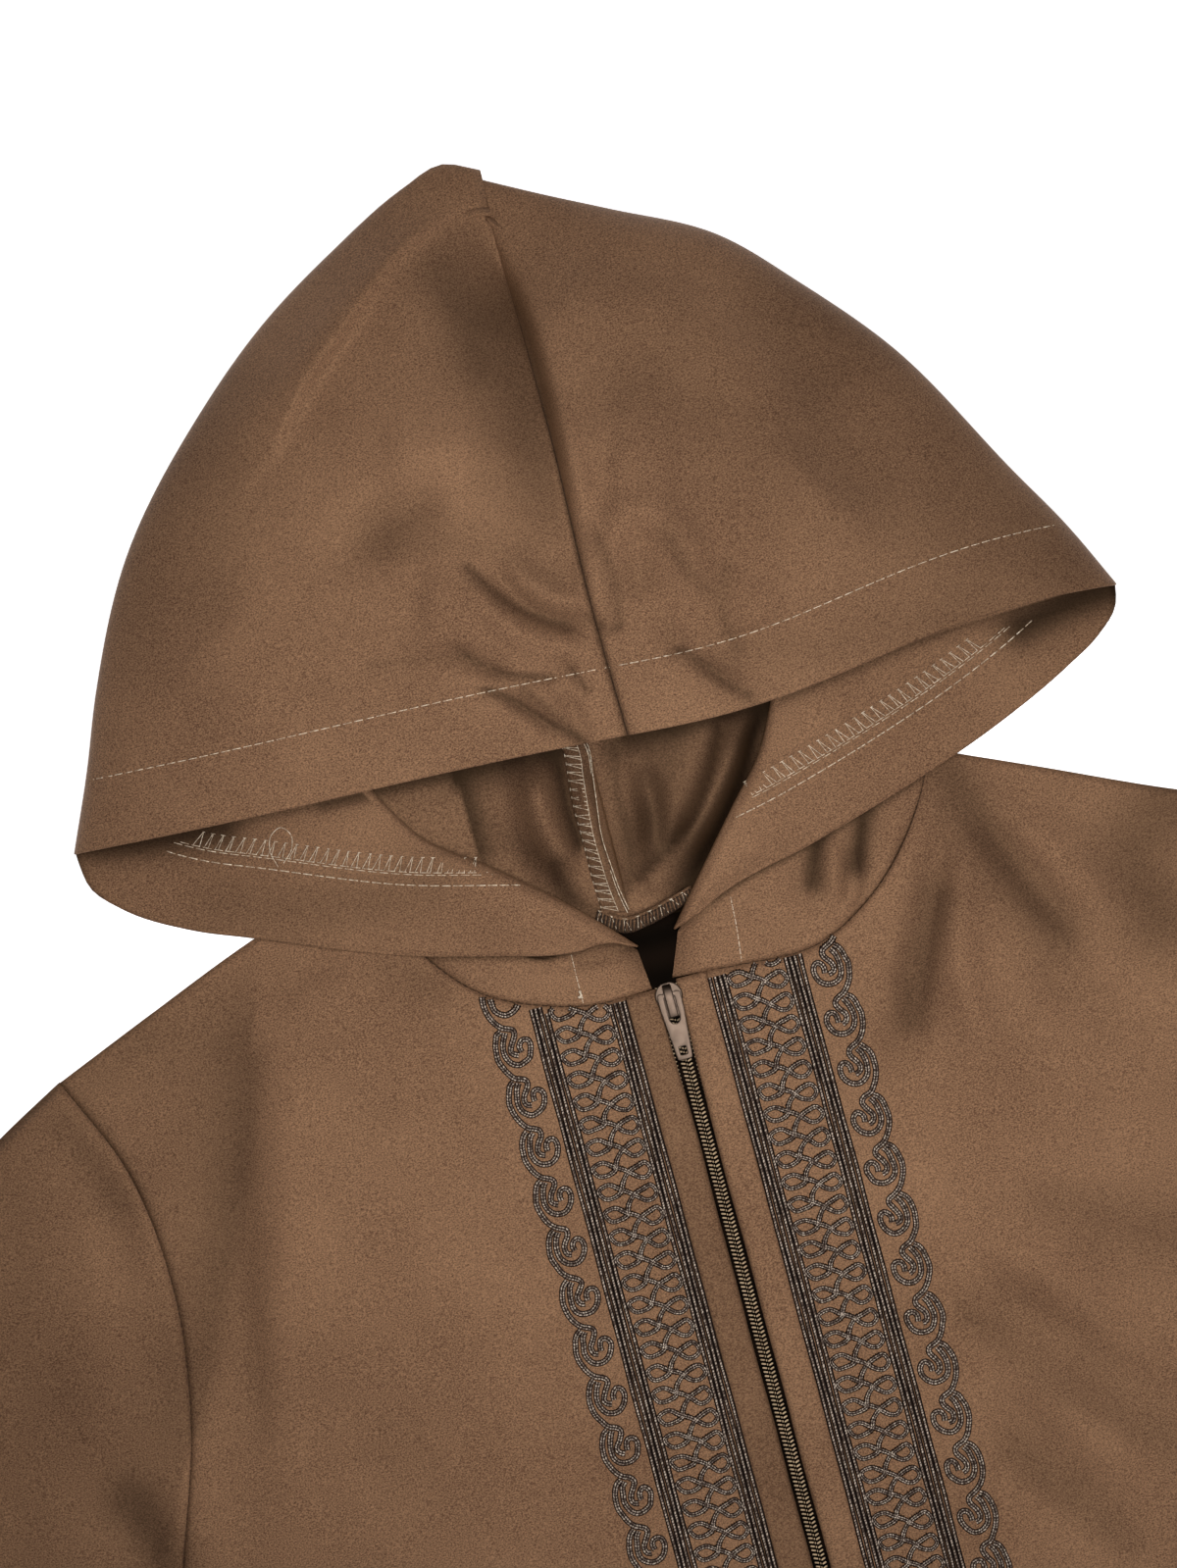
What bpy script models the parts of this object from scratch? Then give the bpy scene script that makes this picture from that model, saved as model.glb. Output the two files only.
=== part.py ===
"""Djellaba: a hooded full-length robe with a zip front and soutache trim, laid flat on its back.

Millimetres in the tables and functions, metres in the meshes. X is across, Y runs from the hem to the
hood's peak, Z is up and 0 is the surface it lies on. Y = 0 in the tables is the top of the zip.
"""

import bmesh
import bpy
import numpy as np

MM = 0.001
WALL = 1.2
SEAM_GAP = 0.3

# ---- driving sizes ----
HEM_Y = -1330.0
PEAK_Y = 328.7
CENTRE_Y = (HEM_Y + PEAK_Y) / 2
BACK_LEVEL = WALL / 2
EDGE_LEVEL = BACK_LEVEL + WALL + SEAM_GAP
COVER_LEVEL = 3.2
EDGE_ROUNDING = 28.0
PLACKET_INNER = 3.2
PLACKET_OUTER = 16.2
PLACKET_END_Y = -412.0
TRIM_HALF_WIDTH = 75.0
TRIM_END_Y = -411.0
UNDERARM_CLEARANCE = 3.6

# Cells of the panels' grids: how many, or the shares of the way where the rows lie.
NECK_PARTS = 6
BACK_NECK_PARTS = 6
SHOULDER_PARTS = 6
ARMHOLE_PARTS = 8
HEM_PARTS = 6
SIDE_SHARES = [0.04, 0.1, 0.18, 0.3, 0.45, 0.62, 0.8, 0.98, 1.0]
SLEEVE_SHARES = [0.0, 0.05, 0.12, 0.2, 0.3, 0.42, 0.56, 0.7, 0.85, 1.0]

# Seams of each side, from the neck outwards or downwards: (x, y).
NECK_START = {"left": (-5.6, -1.5), "right": (5.6, 0.8)}
FRONT_NECK = {
    "left": [
        (-16.35, -1.9), (-25.9, -2.0), (-48.0, 3.2), (-70.0, 13.8), (-87.9, 34.0), (-98.0, 52.0),
        (-104.0, 71.0),
    ],
    "right": [
        (16.35, -0.1), (30.0, -1.2), (61.6, -1.2), (86.1, 11.6), (107.0, 33.0), (117.7, 50.5),
        (122.0, 61.0),
    ],
}
BACK_NECK = {
    "left": [(3.9, 28.6), (-18.0, 27.5), (-52.0, 35.0), (-82.0, 51.0), (-104.0, 71.0)],
    "right": [(3.9, 28.6), (26.0, 29.5), (62.0, 37.0), (97.0, 49.0), (122.0, 61.0)],
}
SHOULDER = {
    "left": [(-104.0, 71.0), (-151.4, 56.8), (-196.0, 39.5), (-237.2, 22.8)],
    "right": [(122.0, 61.0), (160.0, 44.0), (210.7, 21.0), (237.2, 10.5)],
}
ARMHOLE = {
    "left": [
        (-237.2, 22.8), (-220.6, -16.7), (-214.9, -67.5), (-222.3, -119.8), (-238.8, -169.7),
        (-264.0, -243.0),
    ],
    "right": [
        (237.2, 10.5), (221.5, -22.0), (215.4, -69.0), (222.5, -121.0), (238.8, -170.0),
        (264.0, -243.0),
    ],
}
SIDE_SEAM = {
    "left": [(-264.0, -243.0), (-277.0, -345.0), (-318.0, -760.0), (-370.0, -1314.0)],
    "right": [(264.0, -243.0), (277.0, -345.0), (318.0, -760.0), (370.0, -1314.0)],
}
SLEEVE_TOP = {
    "left": [
        (-237.2, 22.8), (-264.8, 7.7), (-330.0, -38.0), (-420.0, -135.0), (-520.0, -262.0),
        (-612.0, -382.0),
    ],
    "right": [
        (237.2, 10.5), (264.8, -3.0), (330.0, -43.0), (420.0, -136.0), (520.0, -262.0),
        (612.0, -382.0),
    ],
}
SLEEVE_UNDER = {
    "left": [(-264.0, -243.0), (-312.0, -312.0), (-390.0, -408.0), (-466.0, -497.0)],
    "right": [(264.0, -243.0), (312.0, -312.0), (390.0, -408.0), (466.0, -497.0)],
}
HEM = {
    "left": [(-370.0, -1314.0), (-190.0, -1327.0), (0.0, HEM_Y)],
    "right": [(370.0, -1314.0), (190.0, -1327.0), (0.0, HEM_Y)],
}

# Soft folds of the upper cloth: start x, y, end x, y, half width, height.
FOLDS = [
    (-152.0, 20.0, -182.0, -110.0, 15.0, 5.0),
    (-118.0, -40.0, -128.0, -300.0, 26.0, 3.5),
    (-262.0, -50.0, -300.0, -190.0, 22.0, 4.5),
    (152.0, 22.0, 112.0, -70.0, 13.0, 4.0),
    (196.0, -6.0, 150.0, -120.0, 16.0, 5.0),
    (250.0, -40.0, 318.0, -160.0, 24.0, 4.5),
    (-330.0, -130.0, -470.0, -340.0, 26.0, 5.0),
    (345.0, -120.0, 480.0, -320.0, 24.0, 5.0),
    (-210.0, -330.0, -262.0, -1210.0, 30.0, 7.0),
    (-112.0, -560.0, -140.0, -1300.0, 28.0, 6.0),
    (128.0, -420.0, 150.0, -1270.0, 30.0, 7.0),
    (232.0, -360.0, 290.0, -1180.0, 28.0, 6.0),
]

# Hood, each half. The edge of the opening, from the break above the zip to the tip, then the outline.
HOOD_EDGE = {
    "left": [
        (-9.0, 15.6), (-18.1, 21.6), (-54.4, 25.1), (-93.7, 35.6), (-150.0, 57.7), (-172.4, 66.9),
        (-196.4, 81.9), (-205.6, 92.0), (-208.3, 107.0),
    ],
    "right": [
        (13.0, 19.0), (28.4, 27.0), (68.9, 37.2), (109.6, 48.9), (150.0, 63.0), (182.2, 77.7),
        (198.0, 87.0), (206.5, 95.5), (208.9, 103.6),
    ],
}
HOOD_OUTLINE = {
    "left": [
        (-208.3, 107.0), (-194.9, 137.2), (-184.0, 164.7), (-158.6, 213.1), (-117.4, 258.7),
        (-83.6, 286.9), (-50.6, 307.1), (-18.6, 323.3), (-1.8, 328.5), (9.6, 323.5),
    ],
    "right": [
        (208.9, 103.6), (195.3, 132.1), (182.1, 155.0), (146.4, 217.6), (121.2, 247.2),
        (94.0, 274.7), (56.6, 294.9), (34.0, 306.6), (11.8, 319.0),
    ],
}
HOOD_ROLL = {
    "left": [(-3.4, 12.0), (-34.0, 43.9), (-55.1, 63.3), (-76.0, 82.0), (-90.0, 103.0)],
    "right": [(7.0, 16.5), (32.0, 45.6), (45.0, 60.5), (57.9, 74.8), (71.0, 99.0)],
}
HOOD_TUCK = {
    "left": [(-104.0, 71.0), (-110.0, 84.0), (-119.0, 104.0)],
    "right": [(122.0, 61.0), (126.0, 76.0), (128.0, 96.0)],
}
CENTRE_FRONT_TOP = [(10.2, 96.1), (9.4, 148.8), (11.2, 214.4), (10.9, 272.7), (10.7, 291.0)]
CENTRE_BACK = [(3.9, 28.6), (5.0, 98.0), (8.5, 220.0), (10.6, 288.0)]

HOOD_WALL = 1.0
HOOD_LEVEL = HOOD_WALL / 2
MIDDLE_LEVEL = 4.4
ROLL_LEVEL = 8.6
LAPEL_LEVEL = 6.3
OUTLINE_ROUNDING = 9.0
CROWN_OPENING = 0.5

# Heights of the hood's cloth, by row: share of the way up, crown seam, outline, sheet below.
HOOD_HEIGHTS = [
    (0.00, 27.0, 5.4, 3.2),
    (0.12, 32.0, 6.6, 1.6),
    (0.30, 38.0, 8.0, HOOD_LEVEL),
    (0.55, 39.0, 8.6, HOOD_LEVEL),
    (0.78, 29.0, 7.2, HOOD_LEVEL),
    (0.92, 15.0, 5.2, HOOD_LEVEL),
    (1.00, 9.6, 4.2, HOOD_LEVEL),
]
# Rows of the hood, from the neck seam at 0 to the peak at 1, and the cells of its layers.
BREAK_ROW = 0.10
TIP_ROW = 0.42
FOLD_ROWS = [0.0, 0.17, 0.34, 0.5, 0.66, 0.84, 1.0]
OPEN_ROWS = [0.0, 0.05, 0.1, 0.16, 0.22, 0.29, 0.37, 0.46, 0.56, 0.67, 0.78, 0.88, 0.967, 1.0]
CROWN_PARTS = 8
ROUND_PARTS = 3
LAPEL_PARTS = 4
FOLD_PARTS = 4
TUCK_PARTS = 3

# Above the tip the roll line and the tuck pass each other: where each ends, as a share of the row, and
# over what share of the rows. Then the folds flatten out, once they are this far apart, over this distance.
ROLL_END_SHARE = 0.36
TUCK_END_SHARE = 0.6
PASSING_SHARE = 0.5
FLATTEN_FROM = 8.0
FLATTEN_OVER = 26.0


def smooth(value):
    """0 below 0, 1 above 1, and a soft step between."""
    clipped = np.clip(value, 0.0, 1.0)
    return clipped * clipped * (3.0 - 2.0 * clipped)


def through(points, shares):
    """Points at the given shares of the length of a smooth curve through the points."""
    knots = np.array(points, float)
    chord = np.concatenate([[0.0], np.cumsum(np.linalg.norm(np.diff(knots, axis=0), axis=1))])
    slope = np.gradient(knots, chord, axis=0)
    place = np.asarray(shares, float) * chord[-1]
    index = np.clip(np.searchsorted(chord, place, side="right") - 1, 0, len(chord) - 2)
    span = (chord[index + 1] - chord[index])[:, None]
    part = (place - chord[index])[:, None] / span
    start = (2 * part**3 - 3 * part**2 + 1) * knots[index]
    start += (part**3 - 2 * part**2 + part) * span * slope[index]
    end = (3 * part**2 - 2 * part**3) * knots[index + 1] + (part**3 - part**2) * span * slope[index + 1]
    return start + end


def even(count):
    return np.linspace(0.0, 1.0, count + 1)


def offset(line, distance):
    """The same open line moved sideways, to the left of its own direction."""
    along = np.gradient(line, axis=0)
    along /= np.linalg.norm(along, axis=1)[:, None]
    return line + distance * np.stack([-along[:, 1], along[:, 0]], axis=1)


def distance_to(x, y, line):
    """Shortest distance from each place to an open line."""
    place = np.stack([x, y], axis=-1)[..., None, :]
    start = line[:-1]
    step = line[1:] - start
    share = np.clip(np.sum((place - start) * step, axis=-1) / np.sum(step * step, axis=-1), 0.0, 1.0)
    return np.linalg.norm(place - start - share[..., None] * step, axis=-1).min(axis=-1)


def outline(side):
    """The garment's edge on one side: shoulder, top of the sleeve, cuff, underarm, side seam and hem."""
    shoulder = through(SHOULDER[side], even(6))
    top = through(SLEEVE_TOP[side], even(12))
    under = through(SLEEVE_UNDER[side], even(6))
    seam = through(SIDE_SEAM[side], even(6))
    return np.concatenate([shoulder, top[1:], under[::-1], seam[1:], through(HEM[side], even(4))[1:]])


def cover(x, y):
    """Height of the upper cloth's middle: low at the garment's edge, level by the zip, raised in folds."""
    edge = np.minimum(distance_to(x, y, outline("left")), distance_to(x, y, outline("right")))
    inside = smooth(edge / EDGE_ROUNDING)
    height = EDGE_LEVEL + (COVER_LEVEL - EDGE_LEVEL) * inside
    beside_trim = smooth((np.abs(x) - TRIM_HALF_WIDTH) / 30.0)
    for x0, y0, x1, y1, half_width, rise in FOLDS:
        step = np.array([x1 - x0, y1 - y0])
        share = ((x - x0) * step[0] + (y - y0) * step[1]) / step.dot(step)
        away = ((x - x0) * step[1] - (y - y0) * step[0]) / np.hypot(*step)
        taper = smooth((share + 0.25) / 0.5) * smooth((1.25 - share) / 0.5)
        height = height + rise * np.exp(-((away / half_width) ** 2)) * taper * inside * beside_trim
    return height


def material(name, colour, roughness, metallic=0.0):
    made = bpy.data.materials.new(name)
    made.use_nodes = True
    shader = made.node_tree.nodes["Principled BSDF"]
    shader.inputs["Base Color"].default_value = (*colour, 1.0)
    shader.inputs["Roughness"].default_value = roughness
    shader.inputs["Metallic"].default_value = metallic
    made.diffuse_color = (*colour, 1.0)
    return made


def place(name, data, finish):
    data.materials.append(finish)
    made = bpy.data.objects.new(name, data)
    bpy.context.scene.collection.objects.link(made)
    return made


def cloth(name, grid, cells, finish, wrap=False, thickness=WALL):
    """A wall of cloth: the grid's marked cells are its middle surface, thickened to both sides."""
    rows, columns = grid.shape[:2]
    index = np.arange(rows * columns).reshape(rows, columns)
    right = np.roll(index, -1, axis=1) if wrap else index[:, 1:]
    left = index if wrap else index[:, :-1]
    quads = np.stack([left[:-1], right[:-1], right[1:], left[1:]], axis=-1)[cells]
    used = np.unique(quads)
    points = grid.reshape(-1, 3)[used] - (0.0, CENTRE_Y, 0.0)
    mesh = bpy.data.meshes.new(name)
    mesh.from_pydata((points * MM).tolist(), [], np.searchsorted(used, quads).tolist())
    mesh.shade_smooth()
    made = place(name, mesh, finish)
    wall = made.modifiers.new("wall", "SOLIDIFY")
    wall.thickness = thickness * MM
    wall.offset = 0.0
    return made


def neck_line(side):
    """Front neck seam: the placket's end, then the front panel's neck edge."""
    return np.concatenate([[NECK_START[side]], through(FRONT_NECK[side], even(NECK_PARTS))])


def armhole_line(side):
    return through(ARMHOLE[side], even(ARMHOLE_PARTS))


def front(side, finish):
    """Front panel: columns from the neck and shoulder, rows from the centre edge to the armhole and side."""
    sign = -1.0 if side == "left" else 1.0
    neck = offset(through(FRONT_NECK[side], even(NECK_PARTS)), -sign * SEAM_GAP / 2)
    neck[0, 0] = sign * (PLACKET_OUTER + SEAM_GAP)
    shoulder = through(SHOULDER[side], even(SHOULDER_PARTS))[1:]
    head = np.concatenate([neck, shoulder])
    armhole = offset(armhole_line(side), -sign * SEAM_GAP / 2)
    outer = np.concatenate([armhole, through(SIDE_SEAM[side], SIDE_SHARES)])
    head[-1] = outer[0]
    across = np.concatenate([[0.0], np.cumsum(np.linalg.norm(np.diff(head, axis=0), axis=1))])
    across /= across[-1]
    foot = through(HEM[side][::-1], across)
    foot[0, 0] = head[0, 0]
    down = (outer[:, 1] - outer[0, 1]) / (outer[-1, 1] - outer[0, 1])
    inner_y = head[0, 1] + down * (foot[0, 1] - head[0, 1])
    inner = np.stack([np.full(len(down), head[0, 0]), inner_y], axis=1)
    u = across[None, :, None]
    v = down[:, None, None]
    corners = (1 - v) * ((1 - u) * head[0] + u * head[-1]) + v * ((1 - u) * foot[0] + u * foot[-1])
    plan = (1 - v) * head[None] + v * foot[None] + (1 - u) * inner[:, None] + u * outer[:, None] - corners
    # Below the placket the panel reaches the centre seam, in one more column.
    seam = plan[:, :1].copy()
    seam[..., 0] = sign * SEAM_GAP / 2
    plan = np.concatenate([seam, plan], axis=1)
    end = np.argmin(np.abs(plan[:, 0, 1] - PLACKET_END_Y))
    plan[end, :2, 1] = PLACKET_END_Y - SEAM_GAP
    cells = np.ones((plan.shape[0] - 1, plan.shape[1] - 1), bool)
    cells[:end, 0] = False
    grid = np.dstack([plan, cover(plan[..., 0], plan[..., 1])])
    return cloth("front_" + side, grid, cells, finish)


def back(finish):
    """Back panel, one flat piece under the fronts."""
    left = np.concatenate([
        offset(through(BACK_NECK["left"], even(BACK_NECK_PARTS)), SEAM_GAP / 2),
        through(SHOULDER["left"], even(SHOULDER_PARTS))[1:-1],
        offset(armhole_line("left"), SEAM_GAP / 2),
        through(SIDE_SEAM["left"], SIDE_SHARES),
        through(HEM["left"], even(HEM_PARTS))[1:],
    ])
    right = np.concatenate([
        offset(through(BACK_NECK["right"], even(BACK_NECK_PARTS)), -SEAM_GAP / 2)[1:],
        through(SHOULDER["right"], even(SHOULDER_PARTS))[1:-1],
        offset(armhole_line("right"), -SEAM_GAP / 2),
        through(SIDE_SEAM["right"], SIDE_SHARES),
        through(HEM["right"], even(HEM_PARTS))[1:-1],
    ])
    edge = np.concatenate([left, right[::-1]]) - (0.0, CENTRE_Y)
    points = np.column_stack([edge, np.full(len(edge), BACK_LEVEL)])
    mesh = bpy.data.meshes.new("back")
    mesh.from_pydata((points * MM).tolist(), [], [list(range(len(points)))])
    made = place("back", mesh, finish)
    wall = made.modifiers.new("wall", "SOLIDIFY")
    wall.thickness = WALL * MM
    wall.offset = 0.0
    return made


def sleeve(side, finish):
    """Sleeve: a tube pressed flat, folded along its top edge and sewn along the underarm."""
    sign = -1.0 if side == "left" else 1.0
    start = offset(armhole_line(side), sign * SEAM_GAP / 2)
    share = even(ARMHOLE_PARTS)
    along = np.array(SLEEVE_SHARES)
    top = through(SLEEVE_TOP[side], along)
    under = through(SLEEVE_UNDER[side], along)
    end = top[-1] + share[:, None] * (under[-1] - top[-1])
    # The underarm corner starts a little way down, so that its fold clears the side seam.
    down = under[1] - under[0]
    under[0] += UNDERARM_CLEARANCE * down / np.linalg.norm(down)
    top[0] = start[0]
    start[-1] = under[0]
    u = share[None, :, None]
    v = along[:, None, None]
    corners = (1 - v) * ((1 - u) * top[0] + u * under[0]) + v * ((1 - u) * top[-1] + u * under[-1])
    plan = (1 - v) * start[None] + v * end[None] + (1 - u) * top[:, None] + u * under[:, None] - corners
    upper = np.dstack([plan, cover(plan[..., 0], plan[..., 1])])
    lower = np.dstack([plan, np.full(plan.shape[:2], BACK_LEVEL)])
    half = (EDGE_LEVEL + BACK_LEVEL) / 2
    reach = (EDGE_LEVEL - BACK_LEVEL) / 2
    fold_top = np.column_stack([offset(top, sign * reach), np.full(len(plan), half)])
    fold_under = np.column_stack([offset(under, -sign * reach), np.full(len(plan), half)])
    ring = np.concatenate([upper, fold_under[:, None], lower[:, ::-1], fold_top[:, None]], axis=1)
    cells = np.ones((ring.shape[0] - 1, ring.shape[1]), bool)
    return cloth("sleeve_" + side, ring, cells, finish, wrap=True)


def hood(side, finish):
    """Half of the hood, in one piece of cloth folded flat in a Z.

    Each row of the grid runs from the crown seam over the top layer to the outline, back along the layer
    below as far as the roll line, under itself to the tuck, and out again to the centre back seam. The first
    row is the neck seam. The lapel starts at the break's row and the top layer at the tip's. Above the tip
    the roll line and the tuck pass each other and the layer below goes flat.
    """
    sign = -1.0 if side == "left" else 1.0
    below = np.array([0.0, 0.5]) * BREAK_ROW
    folded = BREAK_ROW + (TIP_ROW - BREAK_ROW) * np.array(FOLD_ROWS)
    opened = TIP_ROW + (1.0 - TIP_ROW) * np.array(OPEN_ROWS[1:])
    rows = np.concatenate([below, folded, opened])
    above_break = np.clip((rows - BREAK_ROW) / (TIP_ROW - BREAK_ROW), 0.0, 1.0)
    above_tip = np.clip((rows - TIP_ROW) / (1.0 - TIP_ROW), 0.0, 1.0)
    tip = int(np.argmax(rows >= TIP_ROW - 1e-9))
    seam_shift = np.array([sign * SEAM_GAP / 2, 0.0])

    crown = through(CENTRE_FRONT_TOP, above_tip) + seam_shift
    crown[:, 0] += sign * CROWN_OPENING * smooth((above_tip - 0.6) / 0.3)
    centre_back = through(CENTRE_BACK, rows) + seam_shift
    beyond_tip = np.arange(len(rows)) >= tip
    edge = through(HOOD_EDGE[side], above_break)
    edge[tip:] = through(HOOD_OUTLINE[side], above_tip)[tip:]
    heights = np.array(HOOD_HEIGHTS)
    crown_z, outline_z, below_z = (np.interp(above_tip, heights[:, 0], heights[:, n]) for n in (1, 2, 3))

    def flat(plan, height):
        return np.dstack([plan, np.broadcast_to(height, plan.shape[:2])])

    def between(start, end, share):
        return start[:, None] + share[None, :, None] * (end - start)[:, None]

    # Top layer, steepening to the outline.
    share = np.sin(even(CROWN_PARTS) * np.pi / 2) ** 0.9
    dome = (1 - share**2.4) ** 0.55
    top = flat(between(crown, edge, share), outline_z[:, None] + (crown_z - outline_z)[:, None] * dome)
    # Under the outline and down to the layer below.
    turn = even(ROUND_PARTS)[1:] * np.pi / 2
    inward = centre_back - edge
    length = np.linalg.norm(inward, axis=1)
    inward /= length[:, None]
    reach = OUTLINE_ROUNDING * (0.3 + 0.7 * smooth(above_tip / 0.12))
    reach = np.minimum(reach, 0.3 * length)[:, None]
    under = flat(
        edge[:, None] + inward[:, None] * (reach * (1 - np.cos(turn)))[..., None],
        outline_z[:, None] - (outline_z - below_z)[:, None] * np.sin(turn),
    )

    # Roll line and tuck. Above the tip they pass each other.
    lapel_start = np.where(beyond_tip[:, None], under[:, -1, :2], edge)
    span = centre_back - lapel_start
    roll = through(HOOD_ROLL[side], above_break)
    slit = np.array(NECK_START[side])
    under_break = rows < BREAK_ROW
    roll[under_break] = slit + (rows[under_break] / BREAK_ROW)[:, None] * (roll[0] - slit)
    tuck = through(HOOD_TUCK[side], np.clip(rows / TIP_ROW, 0, 1))
    passing = smooth(above_tip / PASSING_SHARE)
    for line, last_share in ((roll, ROLL_END_SHARE), (tuck, TUCK_END_SHARE)):
        start = line[tip] - lapel_start[tip]
        first_share = start.dot(span[tip]) / span[tip].dot(span[tip])
        aside = start - first_share * span[tip]
        share = first_share + passing * (last_share - first_share)
        moved = lapel_start + share[:, None] * span + (1 - passing)[:, None] * aside
        line[tip:] = moved[tip:]
    overlap = np.sum((roll - tuck) * inward, axis=1)
    folded_yet = np.where(beyond_tip, 1 - smooth((-overlap - FLATTEN_FROM) / FLATTEN_OVER), 1.0)
    bulge = np.where(beyond_tip, np.clip(overlap / 6.0, 0.0, 1.0), 1.0)
    roll_z = HOOD_LEVEL + (ROLL_LEVEL - HOOD_LEVEL) * folded_yet
    middle_z = HOOD_LEVEL + (MIDDLE_LEVEL - HOOD_LEVEL) * folded_yet

    # Lapel, from the edge of the opening to the roll line.
    sinking = LAPEL_LEVEL + (below_z[0] - LAPEL_LEVEL) * smooth((above_break - 0.5) / 0.5)
    sinking += (ROLL_LEVEL - LAPEL_LEVEL - 1.0) * (1 - smooth(above_break / 0.25))
    edge_z = np.where(beyond_tip, below_z, sinking)
    share = even(LAPEL_PARTS)
    lapel_z = edge_z[:, None] + (roll_z - edge_z)[:, None] * smooth(share)
    lapel = flat(between(lapel_start, roll, share), lapel_z)
    # Roll line: half a turn down to the middle layer.
    toward = roll - lapel_start
    toward /= np.linalg.norm(toward, axis=1)[:, None]
    half = (roll_z - middle_z)[:, None] / 2
    turn = even(FOLD_PARTS)[1:-1] * np.pi
    out = bulge[:, None] * half * np.sin(turn)
    rolled_z = middle_z[:, None] + half + half * np.cos(turn)
    rolled = flat(roll[:, None] + toward[:, None] * out[..., None], rolled_z)
    # Middle layer, from the roll line to the tuck; its first row is the front neck seam.
    neck = offset(neck_line(side), sign * SEAM_GAP)
    share = np.concatenate([[0.0], np.cumsum(np.linalg.norm(np.diff(neck, axis=0), axis=1))])
    share /= share[-1]
    roll[0] = neck[0]
    tuck[0] = neck[-1]
    bow = neck - (neck[0] + share[:, None] * (neck[-1] - neck[0]))
    fade = np.clip(1 - rows / TIP_ROW, 0, 1)[:, None, None] ** 1.3
    middle_plan = between(roll, tuck, share) + fade * bow[None]
    lift = smooth(rows / (0.5 * TIP_ROW))[:, None]
    seam_z = cover(neck[:, 0], neck[:, 1])
    slope = np.clip(0.5 - overlap / 12.0, 0.0, 1.0)[:, None] * beyond_tip[:, None]
    middle_height = middle_z[:, None] + slope * (0.5 - share) * (roll_z - HOOD_LEVEL)[:, None] * 0.5
    middle = flat(middle_plan, seam_z[None] + lift * (middle_height - seam_z[None]))
    # Tuck: half a turn down to the layer on the surface.
    tuck_out = middle_plan[:, -1] - middle_plan[:, -2]
    tuck_out[tip + 1 :] = -inward[tip + 1 :]
    tuck_out /= np.linalg.norm(tuck_out, axis=1)[:, None]
    turn = even(TUCK_PARTS)[1:-1] * np.pi
    half = (middle[:, -1:, 2] - HOOD_LEVEL) / 2
    out = bulge[:, None] * half * np.sin(turn)
    tucked_z = HOOD_LEVEL + half + half * np.cos(turn)
    tucked = flat(middle_plan[:, -1:] + tuck_out[:, None] * out[..., None], tucked_z)
    # Layer on the surface, to the centre back seam; its first row is the back neck seam.
    back_neck = offset(through(BACK_NECK[side], even(BACK_NECK_PARTS)), sign * SEAM_GAP / 2)[::-1]
    share = even(BACK_NECK_PARTS)
    back_neck[0] = tuck[0]
    centre_back[0] = back_neck[-1]
    bow = back_neck - (back_neck[0] + share[:, None] * (back_neck[-1] - back_neck[0]))
    bottom = flat(between(tuck, centre_back, share) + fade * bow[None], HOOD_LEVEL)

    # Once the folds are open their columns run straight across.
    folds = np.concatenate([rolled, middle, tucked], axis=1)
    share = np.linspace(0.0, 1.0, folds.shape[1] + 2)[1:-1]
    spread = smooth((-overlap - 2.0) / 12.0) * beyond_tip
    straight = flat(between(roll, tuck, share), HOOD_LEVEL + (roll_z - HOOD_LEVEL)[:, None] * (1 - share))
    folds += spread[:, None, None] * (straight - folds)
    grid = np.concatenate([top, under[:, :-1], lapel, folds, bottom], axis=1)

    cells = np.ones((len(rows) - 1, grid.shape[1] - 1), bool)
    first_lapel = top.shape[1] + ROUND_PARTS - 1
    first_middle = first_lapel + LAPEL_PARTS + FOLD_PARTS
    cells[:tip, :first_lapel] = False
    cells[: len(below), :first_middle] = False
    return cloth("hood_" + side, grid, cells, finish, thickness=HOOD_WALL)


def placket(side, finish):
    """Plain strip between the zip and the front's folded edge."""
    sign = -1.0 if side == "left" else 1.0
    seam = neck_line(side)[:2]
    slope = (seam[1, 1] - seam[0, 1]) / (seam[1, 0] - seam[0, 0])
    x = sign * np.array([PLACKET_INNER, PLACKET_OUTER])
    head = seam[0, 1] + slope * (x - seam[0, 0]) - 1.5 * SEAM_GAP
    grid = np.array([
        [(x[0], head[0], COVER_LEVEL), (x[1], head[1], COVER_LEVEL)],
        [(x[0], PLACKET_END_Y, COVER_LEVEL), (x[1], PLACKET_END_Y, COVER_LEVEL)],
    ])
    return cloth("placket_" + side, grid, np.ones((1, 1), bool), finish)


def cut_out(name, outer, holes, thickness, level, finish):
    """A flat plate with holes: closed outlines in plan, filled and given a thickness."""
    curve = bpy.data.curves.new(name, "CURVE")
    curve.dimensions = "2D"
    curve.fill_mode = "BOTH"
    curve.extrude = thickness / 2 * MM
    for line in [outer, *holes]:
        spline = curve.splines.new("POLY")
        spline.points.add(len(line) - 1)
        for point, (x, y) in zip(spline.points, line):
            point.co = (x * MM, y * MM, 0.0, 1.0)
        spline.use_cyclic_u = True
    made = place(name, curve, finish)
    made.location = (0.0, -CENTRE_Y * MM, level * MM)
    return made


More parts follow.
